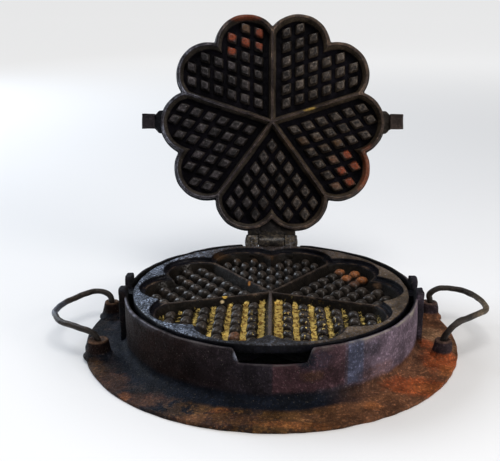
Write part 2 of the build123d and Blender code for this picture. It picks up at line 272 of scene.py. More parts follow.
def rounded_path(corners, cut, steps, closed):
    """Path through corners with each one rounded by an arc: start, corner and end weighted
    by (1-t)^2, 2t(1-t)cos(half the turn) and t^2. The arc begins `cut` before the corner."""
    corners = np.asarray(corners, float)
    cut = np.broadcast_to(np.asarray(cut, float), len(corners))[:, None]
    before = np.roll(corners, 1, axis=0) - corners
    after = np.roll(corners, -1, axis=0) - corners
    before /= np.linalg.norm(before, axis=1)[:, None]
    after /= np.linalg.norm(after, axis=1)[:, None]
    weight = np.sqrt((1 - (before * after).sum(axis=1)) / 2)[:, None, None]
    t = np.linspace(0, 1, steps)[None, :, None]
    parts = [(1 - t) ** 2, 2 * t * (1 - t) * weight, t ** 2]
    places = [corners + before * cut, corners, corners + after * cut]
    path = sum(part * place[:, None, :] for part, place in zip(parts, places)) / sum(parts)
    if closed:
        return path.reshape(-1, corners.shape[1])
    return np.concatenate([corners[:1], path[1:-1].reshape(-1, corners.shape[1]), corners[-1:]])


def finer(path, gap, closed=True):
    """The path with points added along its runs, so that none is longer than about `gap`."""
    if closed:
        path = np.concatenate([path, path[:1]])
    steps = np.linalg.norm(np.diff(path, axis=0), axis=1)
    along = np.concatenate([[0], np.cumsum(steps)])
    stations = np.linspace(0, along[-1], int(along[-1] / gap) + 1)
    stations = np.unique(np.round(np.concatenate([along, stations]), 3))
    return np.stack([np.interp(stations, along, path[:, k]) for k in range(path.shape[1])], axis=1)


def prism(outline, start, end, edge, axes, gap=2.5, stations=()):
    """Bar with one outline along its whole length and rounded ends: each end row is the
    outline moved in by edge*(1-sin t) while the row moves along by edge*(1-cos t). `axes`
    names the two directions of the outline and then that of the bar's length."""
    outline = finer(np.asarray(outline, float), gap)
    ahead = np.roll(outline[:-1], -1, axis=0) - np.roll(outline[:-1], 1, axis=0)
    ahead = np.concatenate([ahead, ahead[:1]])
    turned = np.stack([ahead[:, 1], -ahead[:, 0]], axis=1)
    turned /= np.linalg.norm(turned, axis=1)[:, None]
    area = np.sum(outline[:-1, 0] * outline[1:, 1] - outline[1:, 0] * outline[:-1, 1])
    outward = turned * np.sign(area)
    t = np.linspace(0, math.pi / 2, 4)
    inset = edge * (1 - np.sin(t))
    travel = edge * (1 - np.cos(t))
    middle = np.linspace(start + edge, end - edge, max(2, int((end - start) / gap) + 1))[1:-1]
    middle = np.unique(np.concatenate([middle, np.asarray(stations, float)]))
    places = np.concatenate([start + travel, middle, end - travel[::-1]])
    insets = np.concatenate([inset, np.zeros(len(middle)), inset[::-1]])
    rows = outline[None] - outward[None] * insets[:, None, None]
    centre = np.broadcast_to(outline[:-1].mean(axis=0), (1,) + outline.shape)
    rows = np.concatenate([centre, rows, centre])
    places = np.concatenate([[start], places, [end]])
    grid = np.empty(rows.shape[:2] + (3,))
    grid[..., axes[0]] = rows[..., 0]
    grid[..., axes[1]] = rows[..., 1]
    grid[..., axes[2]] = places[:, None]
    return grid


def lathe(profile, centre, columns=48):
    """Profile of radius and height turned round an upright axis through the centre."""
    profile = np.asarray(profile, float)
    angle = np.linspace(0, 2 * math.pi, columns + 1)
    grid = np.empty((len(profile), columns + 1, 3))
    grid[..., 0] = centre[0] + profile[:, :1] * np.cos(angle)
    grid[..., 1] = centre[1] + profile[:, :1] * np.sin(angle)
    grid[..., 2] = profile[:, 1:]
    return grid


def smooth_step(value, low, high):
    """0 below low, 1 above high, and 3s^2 - 2s^3 between."""
    share = np.clip((value - low) / (high - low), 0, 1)
    return share * share * (3 - 2 * share)


def ring_columns():
    """Angles of the ring's columns: one every degree, and more at each notch and fork edge."""
    notch_marks = np.array([19, 20, 20.6, 21.2, 21.8, 22.4, 23, 23.6, 24.2, 24.8, 25.4, 26, 27])
    fork_marks = np.array([0, 1.3, 2.6, 3.7, 4.7, 5.5, 6.1, 6.5, 6.75, 6.87, 6.9, 6.93, 7.4, 8.5])
    quarter = math.pi / 2
    angles = [np.radians(np.arange(-180, 180, 1.0))]
    for side in (-1, 1):
        angles.append(-quarter + np.arcsin((front_notch_shift + side * notch_marks) / wall_middle))
        angles.append(quarter + np.arcsin(side * notch_marks / wall_middle))
        angles.append(np.arcsin(side * fork_marks / wall_middle))
        angles.append(2 * quarter + np.arcsin(side * fork_marks / wall_middle))
    angles = np.round(np.mod(np.concatenate(angles), 2 * math.pi), 6)
    angles = np.unique(angles)
    return np.append(angles, angles[0] + 2 * math.pi)


def on_quarter(angle):
    """Nearest quarter turn, the angle left over, and the distance beside that axis."""
    quarter_turn = np.round(angle / (math.pi / 2))
    local = angle - quarter_turn * math.pi / 2
    return quarter_turn, local, wall_middle * np.sin(local)


def wall_line(angle):
    """Height of the wall's top. A notch's side is a straight ramp, which the soft maximum
    log(exp(ka) + exp(kb))/k joins to its floor and the soft minimum joins to the wall's
    top. A fork slot's floor is round."""
    quarter_turn, local, beside = on_quarter(angle)
    at_fork = np.mod(quarter_turn, 2) == 0
    at_front = np.mod(quarter_turn, 4) == 3
    along_wall = np.abs(beside - np.where(at_front, front_notch_shift, 0))
    ramp = notch_floor + notch_slope * np.clip(along_wall - notch_half_width, -10, 10)
    line = np.logaddexp(2.2 * ramp, 2.2 * notch_floor) / 2.2
    line = -np.logaddexp(-0.8 * line, -0.8 * wall_top) / 0.8
    slot = axle_height - np.sqrt(np.maximum(fork_slot ** 2 - beside ** 2, 0))
    slot = np.where(np.abs(beside) > fork_slot, wall_top, slot)
    return np.where(at_fork, slot, line)


def ring_body():
    """Wall and flange as one skin: a section of radius and height carried round the ring.
    The wall's top follows the notches and fork slots, whose sides stay parallel. Each row
    of the section is a radius, its share of the wall's height, a lift, and how much of the
    casting's unevenness moves it outwards and upwards."""
    angle = ring_columns()
    quarter_turn, local, beside = on_quarter(angle)
    top = wall_line(angle)
    straight = np.where(np.mod(quarter_turn, 2) == 0, 1 - smooth_step(np.abs(beside), 8, 30),
                        1 - smooth_step(np.abs(beside), 28, 55))

    turn = np.radians([0, 30, 60, 90])
    rows = []
    for share in (0.0, 0.15, 0.35, 0.55, 0.75, 0.9):
        rows.append((wall_inner, share, 0.0, 0.3 if share else 0.0, 0.0))
    for t in turn:
        rows.append((wall_inner + wall_rounding * (1 - np.cos(t)), 1.0,
                     wall_rounding * (np.sin(t) - 1), 0.2, 0.2))
    for t in turn[::-1]:
        rows.append((wall_outer - wall_rounding * (1 - np.cos(t)), 1.0,
                     wall_rounding * (np.sin(t) - 1), 0.3, 0.2))
    for share in (0.93, 0.86, 0.78, 0.7, 0.62, 0.54, 0.46, 0.38, 0.32):
        rows.append((wall_outer, share, 0.0, 0.38, 0.0))
    for t in np.radians([0, 20, 40, 60, 78]):
        rows.append((wall_outer + foot_fillet * (1 - np.cos(t)), 0.0,
                     flange_root - 0.35 + foot_fillet * (1 - np.sin(t)), 0.3, 0.15))
    for radius in (112.0, 114, 116.5, 119, 121.5, 124, 126.5, 129, 131.5, 133.5, 134.8):
        rows.append((radius, 0.0, flange_root - flange_fall * (radius - wall_outer), 0.0, 0.24))
    rows += [(flange_edge - inset, 0.0, height, out_size, up_size)
             for inset, height, out_size, up_size in (
                 (0.6, 2.5, 0.0, 0.1), (0.25, 2.1, -0.1, 0.0), (0.1, 1.5, -0.1, 0.0),
                 (0.1, 0.6, -0.1, 0.0), (0.4, 0.15, -0.1, 0.0), (1.0, 0.0, -0.1, 0.0))]
    rows += [(radius, 0.0, 0.0, 0.0, 0.0) for radius in (125.0, 113.0, wall_inner + 0.5)]
    rows.append(rows[0])
    radius, share, lift, out_size, up_size = np.array(rows).T[:, :, None]

    held = np.clip(radius, wall_inner, wall_outer + 0.8)
    bent = np.arcsin(np.clip(beside / held, -1, 1))
    direction = quarter_turn * math.pi / 2 + local + straight * (bent - local)
    height = share * (top[None] + np.where(share < 1, -wall_rounding, 0)) + lift
    grid = np.stack([radius * np.cos(direction), radius * np.sin(direction),
                     height + 0 * direction], axis=-1)
    bumps = waves(grid, 1.0, 11, 12, 70)
    pushed = out_size * bumps + np.where(radius > flange_edge - 0.7, -np.abs(0.25 * bumps), 0)
    grid[..., 0] += pushed * np.cos(direction)
    grid[..., 1] += pushed * np.sin(direction)
    grid[..., 2] += up_size * waves(grid, 1.0, 12, 14, 80)
    return grid_skin(grid)


def fork_prong(side, along):
    """One prong: an upright bar with rounded top corners, whose rib runs down the wall."""
    corners = np.array([(fork_slot, 1.5), (prong_far, 1.5), (prong_far, prong_top),
                        (fork_slot, prong_top)])
    outline = rounded_path(corners * (along, 1), (0.6, 0.6, 3.4, 2.6), 6, True)
    inside, outside = sorted((side * prong_inside, side * prong_outside))
    grid = prism(outline, inside, outside, 1.0, along_x, 2.0)
    grid = rough(grid, 0.22, 21 + side + 3 * along, 6, 30)
    grid[..., 2] = np.minimum(grid[..., 2], prong_top)
    return grid_skin(grid)


def handle_boss(side, along):
    """A cone with a sunken, rounded top and a foot that runs softly into the flange."""
    shift = left_shift if side < 0 else right_shift
    centre = (side * (boss_out + along * boss_toe), along * boss_spread + shift)
    profile = np.array([(0, 14.3), (2.2, 14.4), (3.8, 14.8), (4.7, 15.1), (5.3, 14.9),
                        (5.75, 14.3), (5.9, 13.2), (6.1, 11.6), (6.35, 9.8), (6.7, 8.0),
                        (7.1, 6.4), (7.7, 5.0), (8.5, 4.1), (9.4, 3.3), (9.6, 2.4), (0, 1.0)])
    wider = wide_boss if side + along == -2 else 0.0
    profile[:, 0] += wider * smooth_step(profile[:, 0], 2.0, 4.6)
    return grid_skin(rough(lathe(profile, centre, 40), 0.20, 31 + side + 3 * along, 4, 20))


def ring_marks(points):
    """Marks from a point's radius and height on the wall: one along the wall's outer top edge,
    rubbed bright by wear and painted with a highlight, `inside` on the wall's inner face, painted
    near black for soot and shade, and `fork` on the prongs and ribs."""
    x, y, z = points.T
    radius = np.hypot(x, y)
    line = wall_line(np.mod(np.arctan2(y, x), 2 * math.pi))
    at_side = np.abs(x) > 60
    beside_fork = prong_far + 1.1
    crown_wear_and_highlight = smooth_step(z, line - 1.0, line - 0.3)
    crown_wear_and_highlight *= smooth_step(radius, wall_middle - 0.2, wall_middle + 0.5)
    crown_wear_and_highlight *= (radius < wall_outer + 1.3) & ((np.abs(y) > beside_fork) | ~at_side)
    inside = smooth_step(radius, wall_middle + 0.1, wall_middle - 0.6)
    fork = smooth_step(np.abs(y), beside_fork, prong_far - 0.4) * at_side
    fork *= smooth_step(z, 5.5, 9.0) * (radius < prong_outside + 2.8)
    return {"crown_wear_and_highlight": crown_wear_and_highlight, "inside": inside, "fork": fork}


def sharp_edges(mesh, angle):
    """Marks each edge as sharp whose two faces' directions differ by more than an angle."""
    loops = np.empty(len(mesh.loops), np.int32)
    mesh.loops.foreach_get("edge_index", loops)
    directions = np.empty(len(mesh.polygons) * 3)
    mesh.polygons.foreach_get("normal", directions)
    directions = directions.reshape(-1, 3)
    order = np.argsort(loops, kind="stable")
    edges = np.arange(len(mesh.edges))
    first = order[np.searchsorted(loops[order], edges, "left")] // 3
    last = order[np.searchsorted(loops[order], edges, "right") - 1] // 3
    alike = (directions[first] * directions[last]).sum(axis=1)
    marks = mesh.attributes.new("sharp_edge", "BOOLEAN", "EDGE")
    marks.data.foreach_set("value", alike < math.cos(math.radians(angle)))


def make_piece(name, skins, material, marks=None, sharp=50, turn=None):
    """One object from closed skins in millimetres. `marks` are attributes worked out from
    the points, and `turn` moves the points to their place after that."""
    counts = np.cumsum([0] + [len(points) for points, triangles in skins])
    points = np.concatenate([skin[0] for skin in skins])
    triangles = np.concatenate([skin[1] + first for skin, first in zip(skins, counts)])
    placed = turn(points) if turn else points
    mesh = bpy.data.meshes.new(name)
    mesh.vertices.add(len(placed))
    mesh.vertices.foreach_set("co", (placed / 1000).ravel())
    mesh.loops.add(triangles.size)
    mesh.loops.foreach_set("vertex_index", triangles.ravel().astype(np.int32))
    mesh.polygons.add(len(triangles))
    mesh.polygons.foreach_set("loop_start", np.arange(0, triangles.size, 3, dtype=np.int32))
    mesh.update(calc_edges=True)
    mesh.shade_smooth()
    sharp_edges(mesh, sharp)
    for mark, values in (marks(points) if marks else {}).items():
        kind = "FLOAT_VECTOR" if values.ndim == 2 else "FLOAT"
        field = mesh.attributes.new(mark, kind, "POINT")
        field.data.foreach_set("vector" if values.ndim == 2 else "value", values.ravel())
    mesh.materials.append(material)
    made = bpy.data.objects.new(name, mesh)
    bpy.context.scene.collection.objects.link(made)
    return made


def new_group(name, inputs, outputs):
    """Empty node group with named sockets."""
    tree = bpy.data.node_groups.new(name, "ShaderNodeTree")
    for label, kind in inputs.items():
        tree.interface.new_socket(label, in_out="INPUT", socket_type="NodeSocket" + kind)
    for label, kind in outputs.items():
        tree.interface.new_socket(label, in_out="OUTPUT", socket_type="NodeSocket" + kind)
    return tree, add(tree, "NodeGroupInput").outputs, add(tree, "NodeGroupOutput").inputs


def blended(tree, share, one, two, way="MIX"):
    """Colour one where the share is 0 and colour two where it is 1."""
    node = add(tree, "ShaderNodeMix", {"data_type": "RGBA", "blend_type": way})
    for index, value in ((0, share), (6, one), (7, two)):
        fill(tree, node.inputs[index], value)
    return node.outputs[2]


def span(tree, value, low, high, soft):
    """1 between low and high and 0 outside, eased over twice `soft` at both ends."""
    return times(tree, remap(tree, value, low - soft, low + soft),
                 remap(tree, value, high - soft, high + soft, 1.0, 0.0))


def noise(tree, place, scale, detail=4.0, roughness=0.6):
    """Noise between 0 and 1 at a place, with so many features to the metre."""
    return add(tree, "ShaderNodeTexNoise", Vector=place, Scale=scale, Detail=detail,
               Roughness=roughness).outputs[0]


def mark(tree, name):
    """Value of one of the mesh's own marks."""
    return add(tree, "ShaderNodeAttribute", {"attribute_name": name}).outputs["Fac"]


# Ragged patch: 1 inside an ellipsoid round a centre and 0 outside, its edge torn by noise.
patch_group, given, result = new_group(
    "ragged_patch",
    {"Place": "Vector", "Centre": "Vector", "Reach": "Vector", "Ragged": "Float"},
    {"Mask": "Float"})
offset = add(patch_group, "ShaderNodeVectorMath", {"operation": "SUBTRACT"})
fill(patch_group, offset.inputs[0], given["Place"])
fill(patch_group, offset.inputs[1], given["Centre"])
shrunk = add(patch_group, "ShaderNodeVectorMath", {"operation": "DIVIDE"})
fill(patch_group, shrunk.inputs[0], offset.outputs[0])
fill(patch_group, shrunk.inputs[1], given["Reach"])
torn = sums(patch_group, "SUBTRACT", noise(patch_group, given["Place"], 170.0, 6.0, 0.7), 0.5)
torn = sums(patch_group, "MULTIPLY_ADD", torn, given["Ragged"],
            length(patch_group, shrunk.outputs[0]))
flecks = noise(patch_group, given["Place"], 640.0, 5.0, 0.75)
flecks = remap(patch_group, flecks, 0.36, 0.60, 0.3, 1.0)
fill(patch_group, result["Mask"], times(patch_group, remap(patch_group, torn, 1.3, 0.6), flecks))

# Cast skin: coarse lumps, fine sand grain and pits as one height, and the grain by itself.
cast_group, given, result = new_group(
    "cast_skin", {"Place": "Vector", "Pits": "Float"}, {"Height": "Float", "Grain": "Float"})
lumps = noise(cast_group, given["Place"], 170.0, 3.0, 0.5)
sand = noise(cast_group, given["Place"], 900.0, 4.0, 0.65)
cells = add(cast_group, "ShaderNodeTexVoronoi", Vector=given["Place"], Scale=620.0)
pits = remap(cast_group, cells.outputs["Distance"], 0.0, 0.32, -1.0, 0.0)
pits = times(cast_group, pits, given["Pits"])
height = sums(cast_group, "MULTIPLY_ADD", lumps, 1.6, times(cast_group, sand, 0.9))
fill(cast_group, result["Height"], sums(cast_group, "ADD", height, pits))
fill(cast_group, result["Grain"], sand)


def start_iron(name, place=None, pits=0.5):
    """New iron material: its tree, the place that its patterns follow, its cast skin, and
    its mottling, a factor of about a half to two that any tone is multiplied by."""
    material = bpy.data.materials.new(name)
    material.use_nodes = True
    tree = material.node_tree
    tree.nodes.clear()
    if place:
        place = add(tree, "ShaderNodeAttribute", {"attribute_name": place}).outputs["Vector"]
    else:
        place = add(tree, "ShaderNodeTexCoord").outputs["Object"]
    skin = add(tree, "ShaderNodeGroup", {"node_tree": cast_group}, Place=place, Pits=pits)
    clouds = remap(tree, noise(tree, place, 60.0, 6.0, 0.66), 0.34, 0.66, 0.5, 1.35)
    specks = remap(tree, noise(tree, place, 520.0, 4.0, 0.72), 0.50, 0.72, 0.8, 2.3)
    return material, tree, place, skin.outputs, times(tree, clouds, specks)


def toned(tree, tone, factor):
    """Tone multiplied by a factor that varies over the surface."""
    grey = add(tree, "ShaderNodeCombineColor", Red=factor, Green=factor, Blue=factor)
    return blended(tree, 1.0, tone, grey.outputs[0], "MULTIPLY")


def patches(tree, place, colour, rows, ragged=1.6):
    """Lays ragged patches over a colour. Each row is a patch's own colour, its centre and
    its reach in millimetres, and its strength."""
    for tone, centre, reach, strength in rows:
        mask = add(tree, "ShaderNodeGroup", {"node_tree": patch_group}, Place=place, Ragged=ragged)
        mask.inputs["Centre"].default_value = [value / 1000 for value in centre]
        mask.inputs["Reach"].default_value = [value / 1000 for value in reach]
        colour = blended(tree, times(tree, mask.outputs["Mask"], strength), colour, tone)
    return colour


def finish_iron(tree, colour, height, shine, bump, depth, gloss, metal=0.0):
    """Closes an iron material: the shader with its colour, roughness and bumps. Gloss is
    the share of light that the skin mirrors straight on, 0.5 for clean lacquer."""
    relief = add(tree, "ShaderNodeBump", Strength=bump, Distance=depth, Height=height)
    surface = add(tree, "ShaderNodeBsdfPrincipled", Base_Color=colour, Roughness=shine,
                  Normal=relief.outputs[0])
    surface.inputs["Metallic"].default_value = metal
    surface.inputs["Specular IOR Level"].default_value = gloss
    add(tree, "ShaderNodeOutputMaterial", Surface=surface.outputs[0])
    return surface


soot_and_shade_black = (0.006, 0.006, 0.007, 1)
fork_black = (0.010, 0.010, 0.014, 1)
scale_and_shade_navy = (0.0045, 0.0065, 0.0120, 1)
scale_blue = (0.050, 0.058, 0.085, 1)
rust_brown = (0.094, 0.046, 0.017, 1)
rust_copper = (0.17, 0.072, 0.036, 1)
boss_top = (0.105, 0.058, 0.036, 1)
rust_red = (0.33, 0.072, 0.021, 1)
rust_orange = (0.38, 0.13, 0.040, 1)
rust_sand = (0.36, 0.20, 0.11, 1)
# The wall's left tone is darker for painted shade, and its right tone lighter for painted light.
wall_left_shaded = (0.014, 0.007, 0.006, 1)
wall_front = (0.020, 0.016, 0.021, 1)
wall_plum = (0.072, 0.034, 0.040, 1)
wall_slate = (0.090, 0.102, 0.165, 1)
wall_right_lit = (0.145, 0.108, 0.142, 1)
notch_slate = (0.026, 0.027, 0.044, 1)
flange_left = (0.019, 0.015, 0.016, 1)
# Tones of the wall's top edge: wear with a painted highlight, bluish at the left.
crown_left_blue_highlight = (0.21, 0.21, 0.26, 1)
crown_front = (0.080, 0.070, 0.072, 1)
painted_blue_highlight = (0.24, 0.26, 0.33, 1)
worn_and_lit_edge = (0.26, 0.23, 0.20, 1)

ring_iron, tree, place, skin, mottling = start_iron("ring_iron")
apart = add(tree, "ShaderNodeSeparateXYZ", Vector=place).outputs
flat_place = add(tree, "ShaderNodeCombineXYZ", X=apart["X"], Y=apart["Y"]).outputs[0]
ring_radius = length(tree, flat_place)
clouds = noise(tree, place, 48.0, 6.0, 0.68)
blots = noise(tree, place, 130.0, 5.0, 0.7)
torn_x = sums(tree, "MULTIPLY_ADD", clouds, 0.05, apart["X"])
# Painted light and shade: the wall is darker at the left and lighter at the right.
wall_tone = blended(tree, remap(tree, torn_x, -0.05, 0.02), wall_left_shaded, wall_front)
wall_tone = blended(tree, remap(tree, torn_x, 0.05, 0.10), wall_tone, wall_right_lit)
ragged_x = sums(tree, "MULTIPLY_ADD", blots, 0.0024, sums(tree, "ADD", apart["X"], -0.0012))
above_foot = remap(tree, sums(tree, "MULTIPLY_ADD", blots, 0.006, apart["Z"]), 0.0125, 0.0155)
front_foot = times(tree, above_foot, remap(tree, apart["Y"], -0.030, -0.040))
wall_tone = blended(tree, remap(tree, apart["Y"], 0.0, 0.045), wall_tone, wall_front)
for tone, left_end, right_end, strength in ((wall_front, -0.0180, 0.0020, 0.7),
                                            (wall_plum, 0.0020, 0.0470, 0.7),
                                            (wall_slate, 0.0490, 0.0590, 0.85)):
    panel = times(tree, span(tree, ragged_x, left_end, right_end, 0.0008), front_foot)
    wall_tone = blended(tree, times(tree, panel, strength), wall_tone, tone)
wall_tone = patches(tree, place, wall_tone, (
    (scale_blue, (62, -87, 31), (16, 10, 6), 0.5),
    (notch_slate, (29, -102, 31), (11, 9, 7), 0.7),
    (rust_brown, (27, -102, 21), (8, 9, 4), 0.5),
    (rust_copper, (70, -79, 14), (18, 16, 5), 0.35)))
flange_tone = blended(tree, remap(tree, torn_x, -0.055, 0.0), flange_left, rust_brown)
flange_tone = blended(tree, remap(tree, torn_x, 0.035, 0.10), flange_tone, rust_copper)
left_scale = remap(tree, torn_x, 0.09, -0.04, 0.25, 1.0)
left_scale = times(tree, left_scale, remap(tree, blots, 0.56, 0.44))
flange_tone = blended(tree, left_scale, flange_tone, scale_and_shade_navy)
flange_tone = patches(tree, place, flange_tone, (
    (scale_blue, (-108, -26, 5), (10, 30, 6), 0.35),
    (rust_brown, (-122, -66, 3), (12, 18, 5), 0.7),
    (scale_blue, (-112, 12, 5), (9, 12, 6), 0.5),
    (rust_copper, (-106, -80, 3), (14, 16, 5), 0.4),
    (rust_copper, (-84, -103, 3), (20, 8, 4), 0.4),
    (rust_orange, (-92, -97, 3), (5, 5, 4), 0.35),
    (rust_copper, (-30, -126, 3), (34, 7, 4), 0.55),
    (rust_orange, (18, -130, 3), (26, 4, 4), 0.45),
    (rust_orange, (-30, -116, 3), (6, 4, 4), 0.5),
    (rust_copper, (40, -122, 3), (26, 8, 4), 0.5),
    (rust_orange, (64, -107, 3), (6, 5, 4), 0.55),
    (rust_red, (96, -80, 3), (26, 12, 5), 0.95),
    (rust_orange, (106, -82, 3), (14, 7, 5), 0.5),
    (rust_red, (118, -44, 3), (14, 18, 6), 0.95),
    (rust_red, (112, -18, 3), (7, 10, 5), 0.95),
    (rust_orange, (122, -60, 3), (9, 10, 5), 0.6),
    (rust_sand, (119, -2, 3), (12, 12, 6), 0.95),
    (rust_sand, (128, -12, 3), (6, 20, 5), 0.5)))
foot = sums(tree, "MULTIPLY_ADD", clouds, 0.006, ring_radius)
foot_band = times(tree, remap(tree, foot, 0.1165, 0.1225, 1.0, 0.0),
                  remap(tree, apart["X"], 0.08, 0.03, 0.25, 1.0))
flange_tone = blended(tree, foot_band, flange_tone, scale_and_shade_navy)
on_flange = remap(tree, sums(tree, "MULTIPLY_ADD", clouds, 0.004, apart["Z"]), 0.0140, 0.0095)
colour = blended(tree, on_flange, wall_tone, flange_tone)
on_boss = times(tree, remap(tree, ring_radius, 0.1105, 0.1125),
                remap(tree, apart["Z"], 0.0062, 0.0082))
# The bosses take the wall's shaded tone on their sides, a little lighter towards the right for
# painted light.
boss_tone = blended(tree, remap(tree, apart["Z"], 0.0135, 0.0150), wall_left_shaded, boss_top)
boss_tone = blended(tree, remap(tree, apart["X"], 0.0, 0.05, 0.0, 0.15), boss_tone, wall_right_lit)
colour = blended(tree, on_boss, colour, boss_tone)
fork = mark(tree, "fork")
colour = blended(tree, times(tree, fork, 0.92), colour, fork_black)
colour = toned(tree, colour, mottling)
# The outer top edge is painted lighter: real wear and a painted highlight, bluish at the left.
crown_wear_and_highlight = mark(tree, "crown_wear_and_highlight")
crown_wear_and_highlight = times(tree, crown_wear_and_highlight, remap(tree, noise(tree, place, 90.0, 5.0, 0.7), 0.38, 0.6, 0.15, 0.9))
crown_tone = blended(tree, remap(tree, torn_x, -0.070, -0.030), crown_left_blue_highlight, crown_front)
crown_tone = blended(tree, remap(tree, torn_x, 0.050, 0.090), crown_tone, worn_and_lit_edge)
colour = blended(tree, crown_wear_and_highlight, colour, crown_tone)
# The wall's inner face is painted near black: soot, and painted shade inside the ring.
inside = mark(tree, "inside")
colour = blended(tree, inside, colour, soot_and_shade_black)
# A painted blue highlight on the front notch's left side, and painted shade over its right edge.
colour = patches(tree, place, colour, [(painted_blue_highlight, (-20, -104.5, 34.5), (2.6, 5, 3.6), 0.8)], 0.6)
colour = patches(tree, place, colour, [(scale_and_shade_navy, (22, -104.5, 33), (6, 8, 7), 0.95)], 0.4)
bright = remap(tree, noise(tree, place, 1100.0, 2.0, 0.6), 0.66, 0.74, 0.0, 0.5)
colour = blended(tree, bright, colour, worn_and_lit_edge)
dull = remap(tree, skin["Grain"], 0.35, 0.7, 0.55, 0.82)
finish_iron(tree, colour, skin["Height"], dull, bump=0.8, depth=0.0010, gloss=0.08)

ring_skins = [ring_body()]
ring_skins += [fork_prong(side, along) for side in (-1, 1) for along in (-1, 1)]
ring_skins += [handle_boss(side, along) for side in (-1, 1) for along in (-1, 1)]
base_ring = make_piece("ring_casting", ring_skins, ring_iron, ring_marks)
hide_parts("base_ring")
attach(base_ring, "base")

# ------------------------------------------------------------------ wire handles
# Two lengths of round iron wire, bent cold by hand through a few bends, so each loop is a
# little uneven. Both ends of each were cast into the tops of its two bosses.
wire_radius = 2.3
wire_unevenness = 0.10
wire_hole = 8.0
wire_leg = 1.2
wire_bend = 0.45
wire_brown = (0.030, 0.022, 0.017, 1)
wire_worn_and_lit = (0.20, 0.15, 0.095, 1)
wire_painted_blue_highlight = (0.12, 0.14, 0.19, 1)
left_bends = [(5.5, -34.6, 22.0), (28.0, -24.8, 23.4), (36.1, -6.0, 22.6), (36.1, 4.0, 22.3),
              (29.7, 20.6, 22.3), (16.5, 36.6, 22.8), (9.5, 38.0, 22.2), (4.0, 36.8, 20.0)]
right_bends = [(4.5, -37.8, 28.0), (33.8, -12.3, 28.2), (34.2, 3.0, 27.5), (32.0, 18.0, 27.0),
               (25.5, 29.5, 26.6), (16.0, 33.8, 27.0), (8.5, 34.6, 26.4), (3.2, 34.9, 24.0),
               (0.4, 35.1, 20.5)]


def tube(path, radius, sides=20):
    """Round bar along a path, closed at both ends. Each ring stands square to the path, and
    its first spoke is the last ring's spoke with the part along the path taken out."""
    ahead = np.gradient(path, axis=0)
    ahead /= np.linalg.norm(ahead, axis=1)[:, None]
    spoke = np.array([0.0, 1.0, 0.0])
    spokes = []
    for direction in ahead:
        spoke = spoke - direction * spoke.dot(direction)
        spoke = spoke / np.linalg.norm(spoke)
        spokes.append(spoke)
    spokes = np.array(spokes)
    across = np.cross(ahead, spokes)
    angle = np.linspace(0, 2 * math.pi, sides + 1)[None, :, None]
    rings = path[:, None] + radius * (np.cos(angle) * spokes[:, None]
                                      + np.sin(angle) * across[:, None])
    caps = [np.repeat(path[end][None, None], sides + 1, axis=1) for end in (0, -1)]
    return np.concatenate([caps[0], rings, caps[1]])


def bent_wire(side, bends, shift):
    """The wire's path from one boss, through its bends, and down into the other boss."""
    ends = [(side * (boss_out + along * boss_toe), along * boss_spread + shift)
            for along in (-1, 1)]
    low = boss_height - wire_hole
    high = boss_height + wire_leg
    corners = [ends[0] + (low,), ends[0] + (high,)]
    corners += [(side * (boss_out + out), along + shift, up) for out, along, up in bends]
    corners += [ends[1] + (high,), ends[1] + (low,)]
    corners = np.array(corners, float)
    runs = np.linalg.norm(np.diff(corners, axis=0), axis=1)
    shorter = np.minimum(runs[:-1], runs[1:])
    cuts = np.concatenate([[0], wire_bend * shorter, [0]])
    path = finer(rounded_path(corners, cuts, 9, False), 1.8, closed=False)
    wobble = smooth_step(path[:, 2], boss_height - 1, boss_height + 5)[:, None]
    path = path + wobble * (rough(path, 0.16, 41 + side, 9, 30) - path)
    return grid_skin(rough(tube(path, wire_radius - wire_unevenness), 0.07, 45 + side, 3, 12))


wire_iron, tree, place, skin, mottling = start_iron("wire_iron", pits=0.9)
# The right wire's top is painted lighter for wear and painted light; the left one carries a
# painted blue highlight.
colour = patches(tree, place, wire_brown, (
    (wire_worn_and_lit, (155, -8, 27), (12, 26, 9), 0.8),
    (wire_painted_blue_highlight, (-155, -6, 22), (9, 14, 9), 0.8)))
colour = toned(tree, colour, mottling)
shine = remap(tree, skin["Grain"], 0.3, 0.7, 0.34, 0.60)
finish_iron(tree, colour, skin["Height"], shine, bump=0.7, depth=0.0008, gloss=0.35, metal=0.2)

for name, node, side, bends, shift in (
        ("left_wire_handle", "handle_left", -1, left_bends, left_shift),
        ("right_wire_handle", "handle_right", 1, right_bends, right_shift)):
    handle = make_piece(name, [bent_wire(side, bends, shift)], wire_iron)
    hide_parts(node)
    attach(handle, "base")

# ------------------------------------------------------------------ lower plate
# One iron casting: a round plate with a flower-shaped nest, five hearts of blunt pegs
# between five ridges, two half-round trunnions, and the hinge's outer knuckles and foot.
# Burnt butter and crumbs are left between the pegs of its two front hearts.
lobe_from_middle = 68.4
lobe_off_axis = 17.3
heart_step = 72.0
rim_lobe = 26.9
floor_lobe = 21.7
mouth_lobe = 24.6
mouth_edge = 24.95
rim_edge = 26.5
peg_pitch = 11.5
first_row = 12.0
peg_base = 4.4
peg_height = 5.8
ridge_height = 8.0
ridge_half_top = 0.75
ridge_half_base = 3.35
ledge = 36.4
border_top = 40.1
border_under = 34.1
border_radius = 100.0
lower_floor = 28.4
lower_under = 23.4
skirt_depth = 0.9
trunnion_radius = 6.5
trunnion_root = 94.0
trunnion_end = 107.0
hinge_y = 103.0
hinge_z = 41.5
knuckle = 6.5
centre_gap = 11.2
knuckle_far = 21.7
cheek_front = 96.25
heel_clearance = 8.8
heel_sweep = 6.1
foot_front = 88.0
foot_back = 108.5
foot_under = 30.1
foot_top = 35.1
foot_half_width = 18.5
soft_cleft = 1.3


